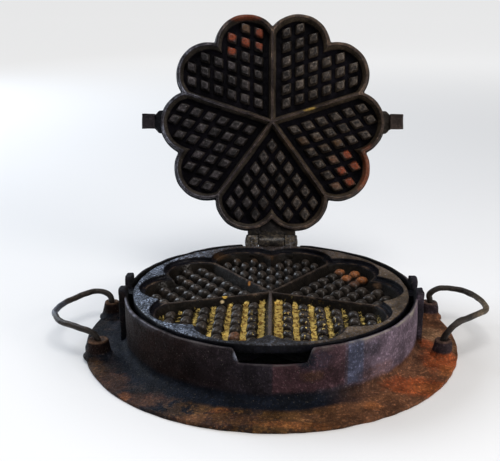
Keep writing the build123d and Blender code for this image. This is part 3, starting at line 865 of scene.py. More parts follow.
def flower(lobe, angle):
    """Distance from the middle to the flower's edge: for each of ten lobes, where a ray
    leaves its circle, and the largest of these blended as log(sum(exp(k*r)))/k."""
    axes = np.radians(90 + heart_step * np.arange(5))
    aside = math.radians(lobe_off_axis)
    lobes = np.concatenate([axes - aside, axes + aside])
    off = angle[..., None] - lobes
    sideways = lobe_from_middle * np.sin(off)
    reach = lobe_from_middle * np.cos(off) + np.sqrt(np.maximum(lobe ** 2 - sideways ** 2, 0))
    largest = reach.max(axis=-1)
    shares = np.exp(soft_cleft * (reach - largest[..., None])).sum(axis=-1)
    return largest + np.log(shares) / soft_cleft


def plate_angles(extra=()):
    """Angles of a plate's columns, every 0.4 degrees, so that each cleft is on one."""
    angle = np.radians(np.arange(0, 360, 0.4))
    angle = np.unique(np.round(np.concatenate([angle, np.asarray(extra, float)]), 9))
    return np.append(angle, angle[0] + 2 * math.pi)


def plate_shell(rows, angle):
    """Skin of a plate without its hearts: each row is a distance from the middle for
    every column, and a height."""
    grid = np.empty((len(rows), len(angle), 3))
    for index, (radius, height) in enumerate(rows):
        grid[index, :, 0] = radius * np.cos(angle)
        grid[index, :, 1] = radius * np.sin(angle)
        grid[index, :, 2] = height
    return grid


def heart_lines():
    """Distances from a ridge of the grid's lines, close together where its sides are steep."""
    by_ridge = np.array([0, 0.4, 0.75, 1.05, 1.45, 1.95, 2.45, 2.95, 3.35, 4.1, 5.1])
    by_peg = np.array([-5.75, -5.0, -4.4, -3.9, -3.3, -2.65, -2.0, -1.0,
                       0, 1.0, 2.0, 2.65, 3.3, 3.9, 4.4, 5.0])
    rows = first_row + peg_pitch * np.arange(7)[:, None] + by_peg
    return np.concatenate([by_ridge, rows.ravel()])


def on_heart(row, column):
    """Place in the plate's plane of the point so far from a heart's two ridges, for a
    heart that points along +X."""
    half = math.radians(heart_step / 2)
    across = 1 / math.sin(2 * half)
    return (row + column) * across * math.cos(half), (row - column) * across * math.sin(half)


def peg_places():
    """Which rows and columns have a peg: where its four base corners are in the recess."""
    row, column = np.meshgrid(first_row + peg_pitch * np.arange(7),
                              first_row + peg_pitch * np.arange(7), indexing="ij")
    stands = np.ones(row.shape, bool)
    for a in (-peg_base, peg_base):
        for b in (-peg_base, peg_base):
            x, y = on_heart(row + a, column + b)
            off = np.abs(np.degrees(np.arctan2(y, x))) - lobe_off_axis
            sideways = lobe_from_middle * np.sin(np.radians(off))
            reach = lobe_from_middle * np.cos(np.radians(off))
            reach += np.sqrt(np.maximum(floor_lobe ** 2 - sideways ** 2, 0))
            stands &= (np.abs(sideways) < floor_lobe) & (np.hypot(x, y) <= reach + 2.0)
    return stands


def beside_peg(row, column):
    """How far a point is from the nearest peg's middle both ways, as shares of the peg's
    half base, and whether a peg stands there."""
    i = np.clip(np.round((row - first_row) / peg_pitch), 0, 6).astype(int)
    j = np.clip(np.round((column - first_row) / peg_pitch), 0, 6).astype(int)
    a = np.abs(row - first_row - peg_pitch * i) / peg_base
    b = np.abs(column - first_row - peg_pitch * j) / peg_base
    return a, b, peg_places()[i, j]


def heart_relief(row, column, peg_shape):
    """Height over the recess floor: the higher of the two ridges and the peg, where a
    ridge falls evenly from its flat top and a peg's height is a function of how far a
    point is from its middle, as a share of its base."""
    near_ridge = np.minimum(row, column)
    ridge = np.clip((ridge_half_base - near_ridge) / (ridge_half_base - ridge_half_top), 0, 1)
    ridge = (ridge_height - 0.12) * ridge * (1 + 0.25 * ridge * (1 - ridge))
    a, b, stands = beside_peg(row, column)
    return np.maximum(ridge, peg_height * peg_shape(a, b) * stands)


def cooking_marks(x, y, depth):
    """`low` is 1 in the hearts below the rim, where the colour is darkened for burnt grease and
    painted shade, `top` on the pegs' tops, `ridge` on the ridges' tops, one mark along the
    edges of ridges and rim for wear and painted highlight lines, and one round the pegs' tops
    for a painted highlight. A point is turned into its own heart, and its distances from that
    heart's two ridges, row and column, are solved from the formula of `on_heart`."""
    radius = np.hypot(x, y)
    angle = np.arctan2(y, x)
    step = math.radians(heart_step)
    local = np.mod(angle - math.pi / 2 + step / 2, step) - step / 2
    forward = radius * np.cos(local) * math.sin(step) / math.cos(step / 2)
    sideways = radius * np.sin(local) * math.sin(step) / math.sin(step / 2)
    row, column = (forward + sideways) / 2, (forward - sideways) / 2
    within = smooth_step(flower(mouth_lobe, angle) - radius, 0.0, 0.7)
    a, b, stands = beside_peg(row, column)
    top = smooth_step(np.maximum(a, b), 0.95, 0.6) * stands * within
    ridge = smooth_step(np.minimum(row, column), 1.35, 0.85) * smooth_step(depth, 0.8, 0.3)
    low = smooth_step(depth, 0.35, 1.2) * within
    at_ridge = radius < flower(24.9, angle)
    wear_and_highlight = np.exp(-((np.minimum(row, column) - 0.9) / 0.3) ** 2) * at_ridge
    wear_and_highlight += np.exp(-((radius - flower(mouth_edge, angle)) / 0.4) ** 2)
    wear_and_highlight += np.exp(-((radius - flower(rim_edge, angle)) / 0.35) ** 2)
    return {"low": low, "top": top, "ridge": ridge * (radius < flower(26.0, angle)),
            "wear_and_highlight": np.minimum(wear_and_highlight, 1) * smooth_step(depth, 1.0, 0.5),
            "peg_edge_highlight": np.exp(-((np.maximum(a, b) - 0.59) / 0.1) ** 2) * stands * within}


def hearts_skin(floor, up, peg_shape, seed):
    """Floors, ridges and pegs of all five hearts as one closed skin: the relief over a
    slanted grid in each heart, cut off inside the rim, with a skirt down to a hidden base."""
    line = heart_lines()
    row, column = np.meshgrid(line, line, indexing="ij")
    x, y = on_heart(row, column)
    relief = heart_relief(row, column, peg_shape)
    turn = np.radians(90 + heart_step * np.arange(5))[:, None, None]
    grid = np.stack([x * np.cos(turn) - y * np.sin(turn), x * np.sin(turn) + y * np.cos(turn),
                     np.broadcast_to(floor + up * relief, (5,) + x.shape)], axis=-1)
    within = np.hypot(x, y) < flower(25.2, np.arctan2(y, x) + math.radians(90))
    cells = grid_triangles(*x.shape)
    cells = cells[within.reshape(-1)[cells].all(axis=1)]
    points = grid.reshape(-1, 3)
    cells = (cells[None] + (np.arange(5) * x.size)[:, None, None]).reshape(-1, 3)
    used, cells = np.unique(cells, return_inverse=True)
    merged, back = np.unique(np.round(points[used], 3) + 0.0, axis=0, return_inverse=True)
    cells = back.reshape(-1)[cells.reshape(-1, 3)]
    edges = np.concatenate([cells[:, [0, 1]], cells[:, [1, 2]], cells[:, [2, 0]]])
    ordered = np.sort(edges, axis=1)
    key = ordered[:, 0] * len(merged) + ordered[:, 1]
    inverse, count = np.unique(key, return_inverse=True, return_counts=True)[1:]
    rim = edges[count[inverse.reshape(-1)] == 1]
    base = floor - up * skirt_depth
    merged = rough(merged, 0.10, seed, 5, 40)
    highest = floor + up * (ridge_height - 0.08)
    merged[:, 2] = up * np.minimum(up * merged[:, 2], up * highest)
    lowered = merged.copy()
    lowered[:, 2] = base
    points = np.concatenate([merged, lowered, [[0, 0, base]]])
    one, two = rim.T
    low_one, low_two = one + len(merged), two + len(merged)
    pole = np.full(len(rim), 2 * len(merged))
    cells = np.concatenate([cells, np.stack([two, one, low_one], axis=1),
                            np.stack([two, low_one, low_two], axis=1),
                            np.stack([low_two, low_one, pole], axis=1)])
    used, cells = np.unique(cells, return_inverse=True)
    return closed_skin(points[used], cells.reshape(-1, 3))


def knob(a, b):
    """Blunt peg, rounded by wear: (1 - s^3)^0.7, where s is the cube root of a^3 + b^3."""
    share = np.clip((a ** 3 + b ** 3) ** (1 / 3), 0, 1)
    return (1 - share ** 3) ** 0.7


def hinge_clearance(points):
    """Points that stand where the upper plate's knuckle and heel turn are lowered to a
    hollow round the hinge: its height is hinge_z - sqrt(r^2 - (y - hinge_y)^2)."""
    back = points[..., 1] - hinge_y
    radius = np.where(back > -heel_sweep, heel_clearance, knuckle + 0.5)
    hollow = hinge_z - np.sqrt(np.maximum(radius ** 2 - back ** 2, 0))
    touched = (np.abs(points[..., 0]) < centre_gap - 0.01) & (np.abs(back) < radius)
    points = points.copy()
    points[..., 2] = np.where(touched, np.minimum(points[..., 2], hollow), points[..., 2])
    return points


def lower_shell():
    """Recess wall, ledge, nest, border, edge and underside of the lower plate."""
    beside_hinge = np.array([-11.22, -11.18, -9, -6, -3, 3, 6, 9, 11.18, 11.22])
    angle = plate_angles(math.pi / 2 + np.arcsin(beside_hinge / 98))
    nest = rim_lobe + 1.0
    rows = [(0 * angle, 27.6), (flower(20.6, angle), 27.6), (flower(21.3, angle), 28.2),
            (flower(21.9, angle), 28.9)]
    rows += [(flower(floor_lobe + 2.6 * share, angle), lower_floor + 8 * share)
             for share in (0.25, 0.45, 0.65, 0.85)]
    rows += [(flower(24.35, angle), 36.1), (flower(24.8, angle), ledge),
             (flower(26.0, angle), ledge), (flower(27.3, angle), ledge),
             (flower(nest, angle), 36.9), (flower(nest, angle), 38.2),
             (flower(nest + 0.1, angle), 39.2), (flower(nest + 0.5, angle), 39.85),
             (flower(nest + 1.2, angle), border_top)]
    inner = flower(nest + 1.6, angle)
    rows += [(inner + (98.3 - inner) * share, border_top) for share in (0.25, 0.5, 0.75, 1.0)]
    rows += [(radius + 0 * angle, height) for radius, height in (
        (99.0, 39.95), (99.5, 39.55), (99.85, 38.9), (border_radius, 38.0), (border_radius, 36.6),
        (border_radius, 35.2), (99.7, 34.4), (99.0, border_under))]
    under = flower(27.6, angle)
    rows += [(99 + (under - 99) * share, border_under) for share in (0.5, 1.0)]
    rows += [(flower(26.8, angle), 33.4), (flower(25.6, angle), 29), (flower(24.4, angle), 24.8),
             (flower(23.6, angle), 23.6), (flower(22.9, angle), lower_under)]
    rows += [(50 + 0 * angle, lower_under), (0 * angle, lower_under)]
    grid = rough(plate_shell(rows, angle), 0.14, 51, 7, 50)
    in_nest = np.hypot(grid[..., 0], grid[..., 1]) < flower(27.6, angle)
    grid[..., 2] = np.minimum(grid[..., 2], np.where(in_nest, ledge, border_top))
    grid[0], grid[-1] = grid[0, :1], grid[-1, :1]
    return grid_skin(hinge_clearance(grid))


def half_round(start, end, upper, stations=()):
    """Half-round trunnion along X, its flat on the plane where the two plates meet."""
    sweep = np.radians(np.linspace(4, 176, 22) if upper else np.linspace(184, 356, 22))
    outline = np.stack([trunnion_radius * np.cos(sweep),
                        axle_height + trunnion_radius * np.sin(sweep)], axis=1)
    return prism(outline, min(start, end), max(start, end), 0.8, along_x, 1.6, stations)


def outer_knuckle(side):
    """Knuckle and its cheek: an arc round the hinge closed by the cheek's straight sides."""
    sweep = np.radians(np.linspace(135, -45, 26))
    arc = np.stack([hinge_y + knuckle * np.cos(sweep), hinge_z + knuckle * np.sin(sweep)], axis=1)
    corners = [(cheek_front, border_under), (cheek_front, 39.8), (96.9, 42.4)]
    outline = np.concatenate([corners, arc, [(foot_back, border_under)]])
    start, end = sorted((side * centre_gap, side * knuckle_far))
    return grid_skin(rough(prism(outline, start, end, 0.8, along_x, 1.5), 0.16, 61 + side, 4, 16))


def hinge_foot():
    """Flat foot under the hinge that rests in the back notch, hollowed for the heel."""
    corners = [(foot_front, foot_under), (foot_back, foot_under), (foot_back, foot_top),
               (foot_front, foot_top)]
    grid = prism(rounded_path(corners, 0.9, 4, True), -foot_half_width, foot_half_width, 0.9,
                 along_x, 1.5, (-11.21, -11.18, 11.18, 11.21))
    return grid_skin(hinge_clearance(rough(grid, 0.1, 66, 6, 30)))


def lower_marks(points):
    """The cooking face's marks, and `butter`, which lies near the floor in the grooves
    that run front to back between the rows of pegs in the two front hearts. Its strength
    falls from the middle groove outwards, and it is widest just right of the middle."""
    x, y, z = points.T
    marks = cooking_marks(x, y, ledge - z)
    above = z > lower_floor - skirt_depth
    groove = np.abs(np.mod(np.abs(x) - 0.5, peg_pitch) - 5.75)
    half_wide = np.where((x > 0) & (x < 9), 3.9, 2.5)
    groove = np.exp(-(groove / half_wide) ** 3) * smooth_step(z, 33.5, 29.5)
    direction = np.degrees(np.arctan2(y, x))
    front = smooth_step(direction, -15, -20) * smooth_step(direction, -165, -160)
    fading = smooth_step(np.abs(x), 66, 8) * 0.5 + 0.5
    marks = {name: values * above for name, values in marks.items()}
    marks["butter"] = groove * front * fading * (marks["low"] > 0.5)
    return marks


border_left = (0.020, 0.025, 0.036, 1)
border_front = (0.026, 0.022, 0.021, 1)
border_right = (0.098, 0.066, 0.038, 1)
border_behind = (0.055, 0.036, 0.024, 1)
border_painted_glint = (0.33, 0.39, 0.52, 1)
border_side_shade = (0.004, 0.004, 0.007, 1)
knuckle_black = (0.020, 0.016, 0.012, 1)
knuckle_crust = (0.105, 0.083, 0.056, 1)
groove_grease_and_shade = (0.007, 0.005, 0.0035, 1)
peg_black = (0.033, 0.025, 0.020, 1)
peg_painted_glint = (0.16, 0.17, 0.20, 1)
ridge_brown = (0.046, 0.034, 0.028, 1)
ridge_painted_highlight = (0.12, 0.10, 0.095, 1)
wear_highlight_brown = (0.17, 0.115, 0.075, 1)
butter_burnt = (0.22, 0.080, 0.012, 1)
butter_gold = (1.0, 0.74, 0.22, 1)
crumb_brown = (0.60, 0.24, 0.05, 1)
crumb_yellow = (0.80, 0.50, 0.09, 1)
crumb_pale = (0.80, 0.62, 0.35, 1)

plate_iron, tree, place, skin, mottling = start_iron("lower_plate_iron")
apart = add(tree, "ShaderNodeSeparateXYZ", Vector=place).outputs
low = mark(tree, "low")
peg_top = mark(tree, "top")
ridge_top = mark(tree, "ridge")
butter = mark(tree, "butter")
clouds = noise(tree, place, 60.0, 5.0, 0.65)
torn_x = sums(tree, "MULTIPLY_ADD", clouds, 0.04, apart["X"])
border_tone = blended(tree, remap(tree, torn_x, -0.04, 0.0), border_left, border_front)
border_tone = blended(tree, remap(tree, torn_x, 0.03, 0.085), border_tone, border_right)
border_tone = blended(tree, remap(tree, apart["Y"], 0.03, 0.085, 0.0, 0.6), border_tone,
                      border_behind)
crusted = remap(tree, noise(tree, place, 300.0, 5.0, 0.75), 0.42, 0.60)
knuckle_tone = blended(tree, crusted, knuckle_black, knuckle_crust)
border_tone = blended(tree, remap(tree, apart["Y"], 0.0950, 0.0975), border_tone, knuckle_tone)
# Painted glints: pale blue specks on the border, most at the left, which also get a glossy coat.
painted_glint_specks = remap(tree, noise(tree, place, 760.0, 3.0, 0.75), 0.50, 0.60)
painted_glint_specks = times(tree, painted_glint_specks, remap(tree, torn_x, -0.005, -0.045, 0.18, 1.0))
border_tone = blended(tree, painted_glint_specks, border_tone, border_painted_glint)
# Painted shade: below the border's top edge, on the plate's side and underside, the colour is near
# black.
shaded_below_edge = remap(tree, apart["Z"], 0.03985, 0.0393)
colour = blended(tree, shaded_below_edge, border_tone, border_side_shade)
# In the hearts below the rim the colour goes near black, for burnt grease and painted shade; the
# pegs' tops stay lighter.
deep = blended(tree, peg_top, groove_grease_and_shade, peg_black)
# Painted glints: pale blue-grey spots on the pegs' tops.
painted_glint_spots = remap(tree, noise(tree, place, 500.0, 3.0, 0.7), 0.60, 0.70, 0.0, 0.6)
deep = blended(tree, times(tree, peg_top, painted_glint_spots), deep, peg_painted_glint)
colour = blended(tree, low, colour, deep)
colour = blended(tree, times(tree, ridge_top, 0.8), colour, ridge_brown)
# Lines along the ridges' and rim's edges, painted lighter: wear and painted highlight lines.
wear_and_highlight = mark(tree, "wear_and_highlight")
wear_and_highlight = times(tree, wear_and_highlight, remap(tree, noise(tree, place, 110.0, 5.0, 0.7), 0.42, 0.62, 0.0, 0.7))
colour = blended(tree, wear_and_highlight, colour, wear_highlight_brown)
colour = toned(tree, colour, mottling)
inside_nest = remap(tree, apart["Z"], 0.0290, 0.0275, 1.0, 0.0)
colour = patches(tree, place, colour, (
    (rust_orange, (66.5, 51.5, 34), (5.2, 5.2, 4.5), 1.0),
    (rust_orange, (55.0, 55.2, 34), (4.8, 4.8, 3.5), 0.7),
    (rust_orange, (59.3, 41.7, 34), (4.8, 4.8, 3.5), 0.9),
    (rust_orange, (70.8, 38.0, 34), (5.2, 5.2, 4.5), 1.0),
    (rust_copper, (63.7, 28.2, 34), (4.6, 4.6, 3.5), 0.5),
    (rust_sand, (79.3, 17.4, 34), (4.6, 4.6, 3.5), 0.35),
    (rust_copper, (-23.5, -68.6, 34), (5.2, 5.2, 4.5), 0.9),
    # A painted highlight along the top of the front ridge.
    (ridge_painted_highlight, (0, -46, 36.7), (2.6, 44, 3), 0.8),
    (rust_orange, (-22, -84, 31), (15, 4, 4), 0.6),
    (rust_copper, (-4, -86, 31), (6, 4, 4), 0.5),
    (rust_brown, (-62, 30, 37), (14, 8, 4), 0.8),
    (rust_brown, (-20, 76, 37), (30, 10, 4), 0.6)), 0.9)
crust = noise(tree, place, 330.0, 6.0, 0.78)
gold = blended(tree, remap(tree, crust, 0.41, 0.55), butter_burnt, butter_gold)
laid = remap(tree, sums(tree, "MULTIPLY_ADD", crust, 2.4, butter), 1.62, 1.92)
laid = times(tree, laid, inside_nest)
colour = blended(tree, laid, colour, gold)
sprayed = patches(tree, place, (0, 0, 0, 1), [
    ((1, 1, 1, 1), (16, -50, 31), (34, 40, 9), 1.0)], 0.8)
flecks = remap(tree, noise(tree, place, 420.0, 3.0, 0.7), 0.60, 0.64)
colour = blended(tree, times(tree, times(tree, flecks, sprayed), low), colour, gold)
colour = patches(tree, place, colour, (
    (crumb_brown, (-16.5, 20.2, 35.0), (1.5, 2.0, 1.8), 1.0),
    (crumb_yellow, (-33.2, -10.6, 36.2), (2.0, 1.7, 1.4), 1.0),
    (crumb_pale, (-34.4, -14.2, 33.5), (1.8, 1.6, 1.6), 1.0)), 1.1)
shine = remap(tree, skin["Grain"], 0.3, 0.7, 0.32, 0.58)
shine = sums(tree, "MULTIPLY_ADD", low, 0.12, shine)
shine = sums(tree, "MULTIPLY_ADD", peg_top, -0.16, shine)
crusty = greater(tree, laid, times(tree, peg_top, 0.9))
height = sums(tree, "MULTIPLY_ADD", crusty, crust, skin["Height"])
surface = finish_iron(tree, colour, height, shine, bump=0.8, depth=0.0009, gloss=0.09)
surface.inputs["Coat Roughness"].default_value = 0.22
glossy = greater(tree, greater(tree, peg_top, painted_glint_specks), laid)
fill(tree, surface.inputs["Coat Weight"], times(tree, glossy, 0.35))

lower_skins = [lower_shell(), hearts_skin(lower_floor, 1, knob, 55), hinge_foot()]
for side in (-1, 1):
    bar = half_round(side * trunnion_root, side * trunnion_end, False)
    lower_skins.append(grid_skin(rough(bar, 0.12, 71 + side, 5, 20)))
    lower_skins.append(outer_knuckle(side))
lower_plate = make_piece("lower_casting", lower_skins, plate_iron, lower_marks)
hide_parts("lower_plate")
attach(lower_plate, "lower_pan")

# ------------------------------------------------------------------ upper plate
# One iron casting: a flower-shaped plate with five hearts of crisp pegs, a raised rim, a
# lug and half-round trunnion at each side, and the hinge's centre knuckle with a heel
# that stops it as it leans back. Modelled shut over the lower plate, then swung open.
lid_rim = 36.7
lid_floor = 44.7
lid_back = 49.2
open_angle = 107.1
flat_share = 0.59
lug_under = 40.5
lug_half = 9.7
lug_root = 92.5
lug_end = 100.2
lid_trunnion_root = 97.0
lid_trunnion_end = 111.5
neck_half = 10.7
heel_radius = 8.3
web_half = 20.4
web_clearance = 7.1


def pyramid(a, b):
    """Crisp peg: a flat top as far out as `flat_share`, then a straight slope to its base.
    The distance is the seventh root of a^7 + b^7, a square with slightly rounded corners."""
    share = (a ** 7 + b ** 7) ** (1 / 7)
    return np.clip((1 - share) / (1 - flat_share), 0, 1)


def lid_shell():
    """Recess wall, rim, outside and back of the upper plate. The outside widens behind the
    rim, then draws in a little to the back."""
    angle = plate_angles()
    rows = [(0 * angle, 45.5), (flower(20.6, angle), 45.5), (flower(21.3, angle), 44.9),
            (flower(21.9, angle), 44.2)]
    rows += [(flower(floor_lobe + 2.6 * share, angle), lid_floor - 8 * share)
             for share in (0.25, 0.45, 0.65, 0.85)]
    rows += [(flower(lobe, angle), height) for lobe, height in (
        (24.3, 37.1), (24.6, 36.8), (25.0, lid_rim), (26.1, lid_rim), (26.6, 36.85),
        (26.8, 37.3), (26.8, 38.6), (26.8, 39.9), (27.0, 40.6), (27.6, 41.3), (28.1, 41.9),
        (28.2, 42.7), (28.0, 44.3), (27.7, 45.6), (27.3, 46.5), (26.6, 47.4), (25.8, 48.2),
        (24.9, 48.8), (23.6, 49.1), (20.0, lid_back))]
    rows += [(45 + 0 * angle, lid_back), (0 * angle, lid_back)]
    grid = rough(plate_shell(rows, angle), 0.12, 81, 7, 50)
    over_border = np.hypot(grid[..., 0], grid[..., 1]) > flower(27.1, angle)
    grid[..., 2] = np.maximum(grid[..., 2], np.where(over_border, lug_under, lid_rim))
    grid[0], grid[-1] = grid[0, :1], grid[-1, :1]
    return grid_skin(grid)


def lid_lug(side):
    """Lug with cut corners over the lower plate's border. It starts inside the rim."""
    corners = [(lug_root, -lug_half), (97.2, -lug_half), (lug_end, -trunnion_radius),
               (lug_end, trunnion_radius), (97.2, lug_half), (lug_root, lug_half)]
    outline = rounded_path(np.array(corners) * (side, 1), 0.7, 3, True)
    grid = rough(prism(outline, lug_under, 46.0, 0.8, (0, 1, 2), 1.8), 0.14, 91 + side, 4, 18)
    grid[..., 2] = np.maximum(grid[..., 2], lug_under)
    return grid_skin(grid)


def lid_trunnion(side):
    """Upper half-round trunnion, its root buried in the lug: it is kept above the lug's
    underside as far as the lug's end."""
    stations = sorted(side * (lug_end + np.array([0.15, 0.4])))
    bar = half_round(side * lid_trunnion_root, side * lid_trunnion_end, True, stations)
    bar = rough(bar, 0.10, 98 + side, 5, 20)
    buried = np.abs(bar[..., 0]) < lug_end + 0.25
    bar[..., 2] = np.where(buried, np.maximum(bar[..., 2], lug_under + 0.4), bar[..., 2])
    return grid_skin(bar)


def tucked(grid):
    """Points that would reach into the hearts are lifted into the plate's thickness, and
    none in front of the hinge is lower than the lugs' underside."""
    angle = np.arctan2(grid[..., 1], grid[..., 0])
    within = np.hypot(grid[..., 0], grid[..., 1]) < flower(25.6, angle)
    grid = grid.copy()
    in_front = grid[..., 1] < 96.0
    grid[..., 2] = np.where(in_front, np.maximum(grid[..., 2], lug_under), grid[..., 2])
    held = np.clip(grid[..., 2], lid_floor + 0.9, lid_back - 0.6)
    grid[..., 2] = np.where(within, held, grid[..., 2])
    return grid


def centre_knuckle():
    """Neck, knuckle and stop heel in one outline round the hinge."""
    lower = np.radians(np.linspace(189, 333, 18))
    heel = np.radians(np.linspace(-25, 20, 8))
    upper = np.radians(np.linspace(24, 90, 10))
    arcs = [np.stack([hinge_y + radius * np.cos(sweep), hinge_z + radius * np.sin(sweep)], axis=1)
            for radius, sweep in ((knuckle, lower), (heel_radius, heel), (knuckle, upper))]
    outline = np.concatenate([[(78, 48), (78, lug_under)]] + arcs)
    grid = prism(outline, -neck_half, neck_half, 0.5, along_x, 1.5)
    return grid_skin(tucked(rough(grid, 0.10, 95, 4, 16)))


def lid_web():
    """Web that joins the neck to the plate, as wide as the knuckles. Its end is an arc
    round the hinge that clears them."""
    sweep = np.radians(np.linspace(186, 122, 10))
    end = np.stack([hinge_y + web_clearance * np.cos(sweep),
                    hinge_z + web_clearance * np.sin(sweep)], axis=1)
    outline = np.concatenate([[(72, 47.6), (72, lug_under), (95.2, lug_under)], end,
                              [(97.6, 47.6)]])
    grid = prism(outline, -web_half, web_half, 1.6, along_x, 1.6)
    return grid_skin(tucked(rough(grid, 0.13, 97, 5, 20)))


def swing_open(points):
    """Turns points about the hinge by the open angle."""
    angle = -math.radians(open_angle)
    y = points[:, 1] - hinge_y
    z = points[:, 2] - hinge_z
    return np.stack([points[:, 0], hinge_y + y * math.cos(angle) - z * math.sin(angle),
                     hinge_z + y * math.sin(angle) + z * math.cos(angle)], axis=1)


def lid_marks(points):
    """The cooking face's marks, and `shut`, the place with the iron shut, in metres, which
    the patterns follow."""
    x, y, z = points.T
    front = (z < 45.55) & (np.abs(x) < 99) & (y < 95)
    marks = {name: values * front for name, values in cooking_marks(x, y, z - lid_rim).items()}
    marks["rim"] = smooth_step(z, 37.9, 37.1)
    marks["shut"] = points / 1000
    return marks


# Each tone comes as a darker, cooler copy for the left and a lighter, warmer one for the right:
# painted shade and painted light.
outer_left = (0.015, 0.016, 0.021, 1)
outer_right = (0.040, 0.033, 0.028, 1)
slope_left = (0.040, 0.034, 0.029, 1)
slope_right = (0.070, 0.052, 0.036, 1)
recess_grease_and_shade = (0.0030, 0.0024, 0.0046, 1)
top_dark = (0.014, 0.013, 0.014, 1)
top_left = (0.041, 0.035, 0.039, 1)
top_right = (0.073, 0.058, 0.048, 1)
top_edge_left = (0.080, 0.074, 0.080, 1)
top_edge_right = (0.120, 0.098, 0.080, 1)
rim_left = (0.022, 0.018, 0.022, 1)
rim_right = (0.046, 0.032, 0.028, 1)
barrel_black = (0.012, 0.012, 0.013, 1)
barrel_crust = (0.075, 0.060, 0.042, 1)
peg_rust = (0.23, 0.046, 0.017, 1)
rim_crumb = (0.55, 0.36, 0.08, 1)

lid_iron, tree, place, skin, mottling = start_iron("upper_plate_iron", "shut")
apart = add(tree, "ShaderNodeSeparateXYZ", Vector=place).outputs
low = mark(tree, "low")
peg_top = mark(tree, "top")
ridge_top = mark(tree, "ridge")
rim = mark(tree, "rim")
clouds = noise(tree, place, 60.0, 5.0, 0.65)
torn_x = sums(tree, "MULTIPLY_ADD", clouds, 0.04, apart["X"])
# The share of the lighter, warmer right-hand copies: painted light from the right.
warm_lit_right_share = remap(tree, torn_x, -0.03, 0.07)
outer_tone = blended(tree, warm_lit_right_share, outer_left, outer_right)
slope_tone = blended(tree, warm_lit_right_share, slope_left, slope_right)
# Deeper in the recess the colour goes near black, for burnt grease and painted shade.
deep = remap(tree, apart["Z"], 0.0422, 0.0447)
inside_tone = blended(tree, deep, slope_tone, recess_grease_and_shade)
colour = blended(tree, low, outer_tone, inside_tone)
top_light = blended(tree, warm_lit_right_share, top_left, top_right)
top_tone = blended(tree, remap(tree, noise(tree, place, 240.0, 4.0, 0.7), 0.38, 0.62),
                   top_dark, top_light)
colour = blended(tree, times(tree, peg_top, 0.9), colour, top_tone)
# A painted highlight round the pegs' tops, lighter at the right.
peg_edge_highlight = mark(tree, "peg_edge_highlight")
broken = remap(tree, noise(tree, place, 190.0, 3.0, 0.7), 0.40, 0.60, 0.0, 0.8)
colour = blended(tree, times(tree, peg_edge_highlight, broken), colour,
                 blended(tree, warm_lit_right_share, top_edge_left, top_edge_right))
rim_tone = blended(tree, warm_lit_right_share, rim_left, rim_right)
colour = blended(tree, times(tree, greater(tree, rim, ridge_top), 0.9), colour, rim_tone)
on_hinge = times(tree, remap(tree, apart["Y"], 0.091, 0.097), 0.85)
barrel_tone = blended(tree, remap(tree, noise(tree, place, 300.0, 5.0, 0.75), 0.42, 0.60),
                      barrel_black, barrel_crust)
colour = blended(tree, on_hinge, colour, barrel_tone)
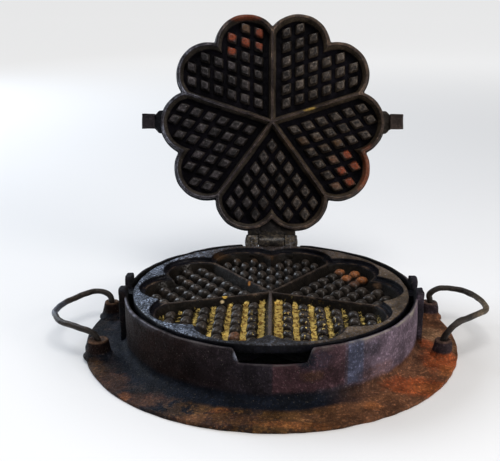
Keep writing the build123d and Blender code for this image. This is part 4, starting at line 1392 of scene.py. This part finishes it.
# Lines along the ridges' and rim's edges: wear and painted highlight lines, with a painted blue
# reflection at the left.
wear_and_highlight = mark(tree, "wear_and_highlight")
wear_and_highlight = times(tree, wear_and_highlight, remap(tree, noise(tree, place, 110.0, 5.0, 0.7), 0.40, 0.60, 0.05, 0.75))
wear_highlight_tone = blended(tree, remap(tree, torn_x, -0.06, 0.0), painted_blue_highlight, wear_highlight_brown)
colour = blended(tree, wear_and_highlight, colour, wear_highlight_tone)
colour = toned(tree, colour, mottling)
colour = patches(tree, place, colour, (
    (peg_rust, (-34.7, -73.3, 39), (4.6, 4.6, 5.5), 1.0),
    (peg_rust, (-22.7, -68.5, 39), (4.6, 4.6, 5.5), 0.9),
    (peg_rust, (-9.9, -66.5, 39), (4.6, 4.6, 4.5), 0.8),
    (peg_rust, (-9.9, -75.9, 39), (4.6, 4.6, 4.5), 0.8),
    (peg_rust, (-34.7, -61.8, 39), (4.6, 4.6, 5.5), 1.0),
    (rust_brown, (-21.9, -79.8, 39), (4.6, 4.6, 3.5), 0.8),
    (peg_rust, (64.9, 26.5, 39), (4.6, 4.6, 5.5), 1.0),
    (rust_copper, (53.0, 31.7, 39), (4.6, 4.6, 3.5), 0.6),
    (peg_rust, (70.8, 35.9, 39), (4.6, 4.6, 5.5), 0.9),
    (peg_rust, (59.8, 41.0, 39), (4.6, 4.6, 5.5), 0.9),
    (peg_rust, (66.7, 50.4, 39), (4.6, 4.6, 5.5), 0.8),
    (rust_copper, (55.2, 53.0, 39), (4.6, 4.6, 4.5), 0.6),
    (rust_brown, (55.0, 16.3, 39), (4.6, 4.6, 3.5), 0.7),
    (rim_crumb, (31, -11, 36.7), (6, 2.4, 2), 0.7),
    (rust_red, (-24, -92, 38), (22, 6, 5), 0.5),
    (rust_red, (82, 44, 38), (10, 22, 5), 0.5),
    (rust_brown, (30, 18, 38), (24, 6, 4), 0.5)), 0.9)
shine = remap(tree, skin["Grain"], 0.3, 0.7, 0.34, 0.58)
surface = finish_iron(tree, colour, skin["Height"], shine, bump=0.7, depth=0.0008, gloss=0.05)
surface.inputs["Coat Roughness"].default_value = 0.25
fill(tree, surface.inputs["Coat Weight"], times(tree, greater(tree, peg_top, rim), 0.3))

lid_skins = [lid_shell(), hearts_skin(lid_floor, -1, pyramid, 85), centre_knuckle(), lid_web()]
lid_skins += [lid_lug(side) for side in (-1, 1)] + [lid_trunnion(side) for side in (-1, 1)]
upper_plate = make_piece("upper_casting", lid_skins, lid_iron, lid_marks, turn=swing_open)
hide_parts("upper_plate")
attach(upper_plate, "lid")

# ------------------------------------------------------------------ hinge pin
# A short round iron pin through the three knuckles, hammered over at both ends into low
# domed heads.
pin_radius = 2.4


def pin_skin():
    """The pin's profile turned round the hinge's axis."""
    head = [(0, 22.6), (1.6, 22.5), (2.8, 22.2), (3.35, 21.95), (3.4, 21.72),
            (pin_radius, knuckle_far)]
    profile = head + [(radius, -place) for radius, place in reversed(head)]
    away, up, along = np.moveaxis(lathe(profile, (0, 0), 28), -1, 0)
    return grid_skin(np.stack([along, hinge_y + away, hinge_z + up], axis=-1))


hinge_pin = make_piece("hinge_rivet", [pin_skin()], wire_iron, sharp=60)
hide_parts("hinge_pin")
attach(hinge_pin, "lower_pan")
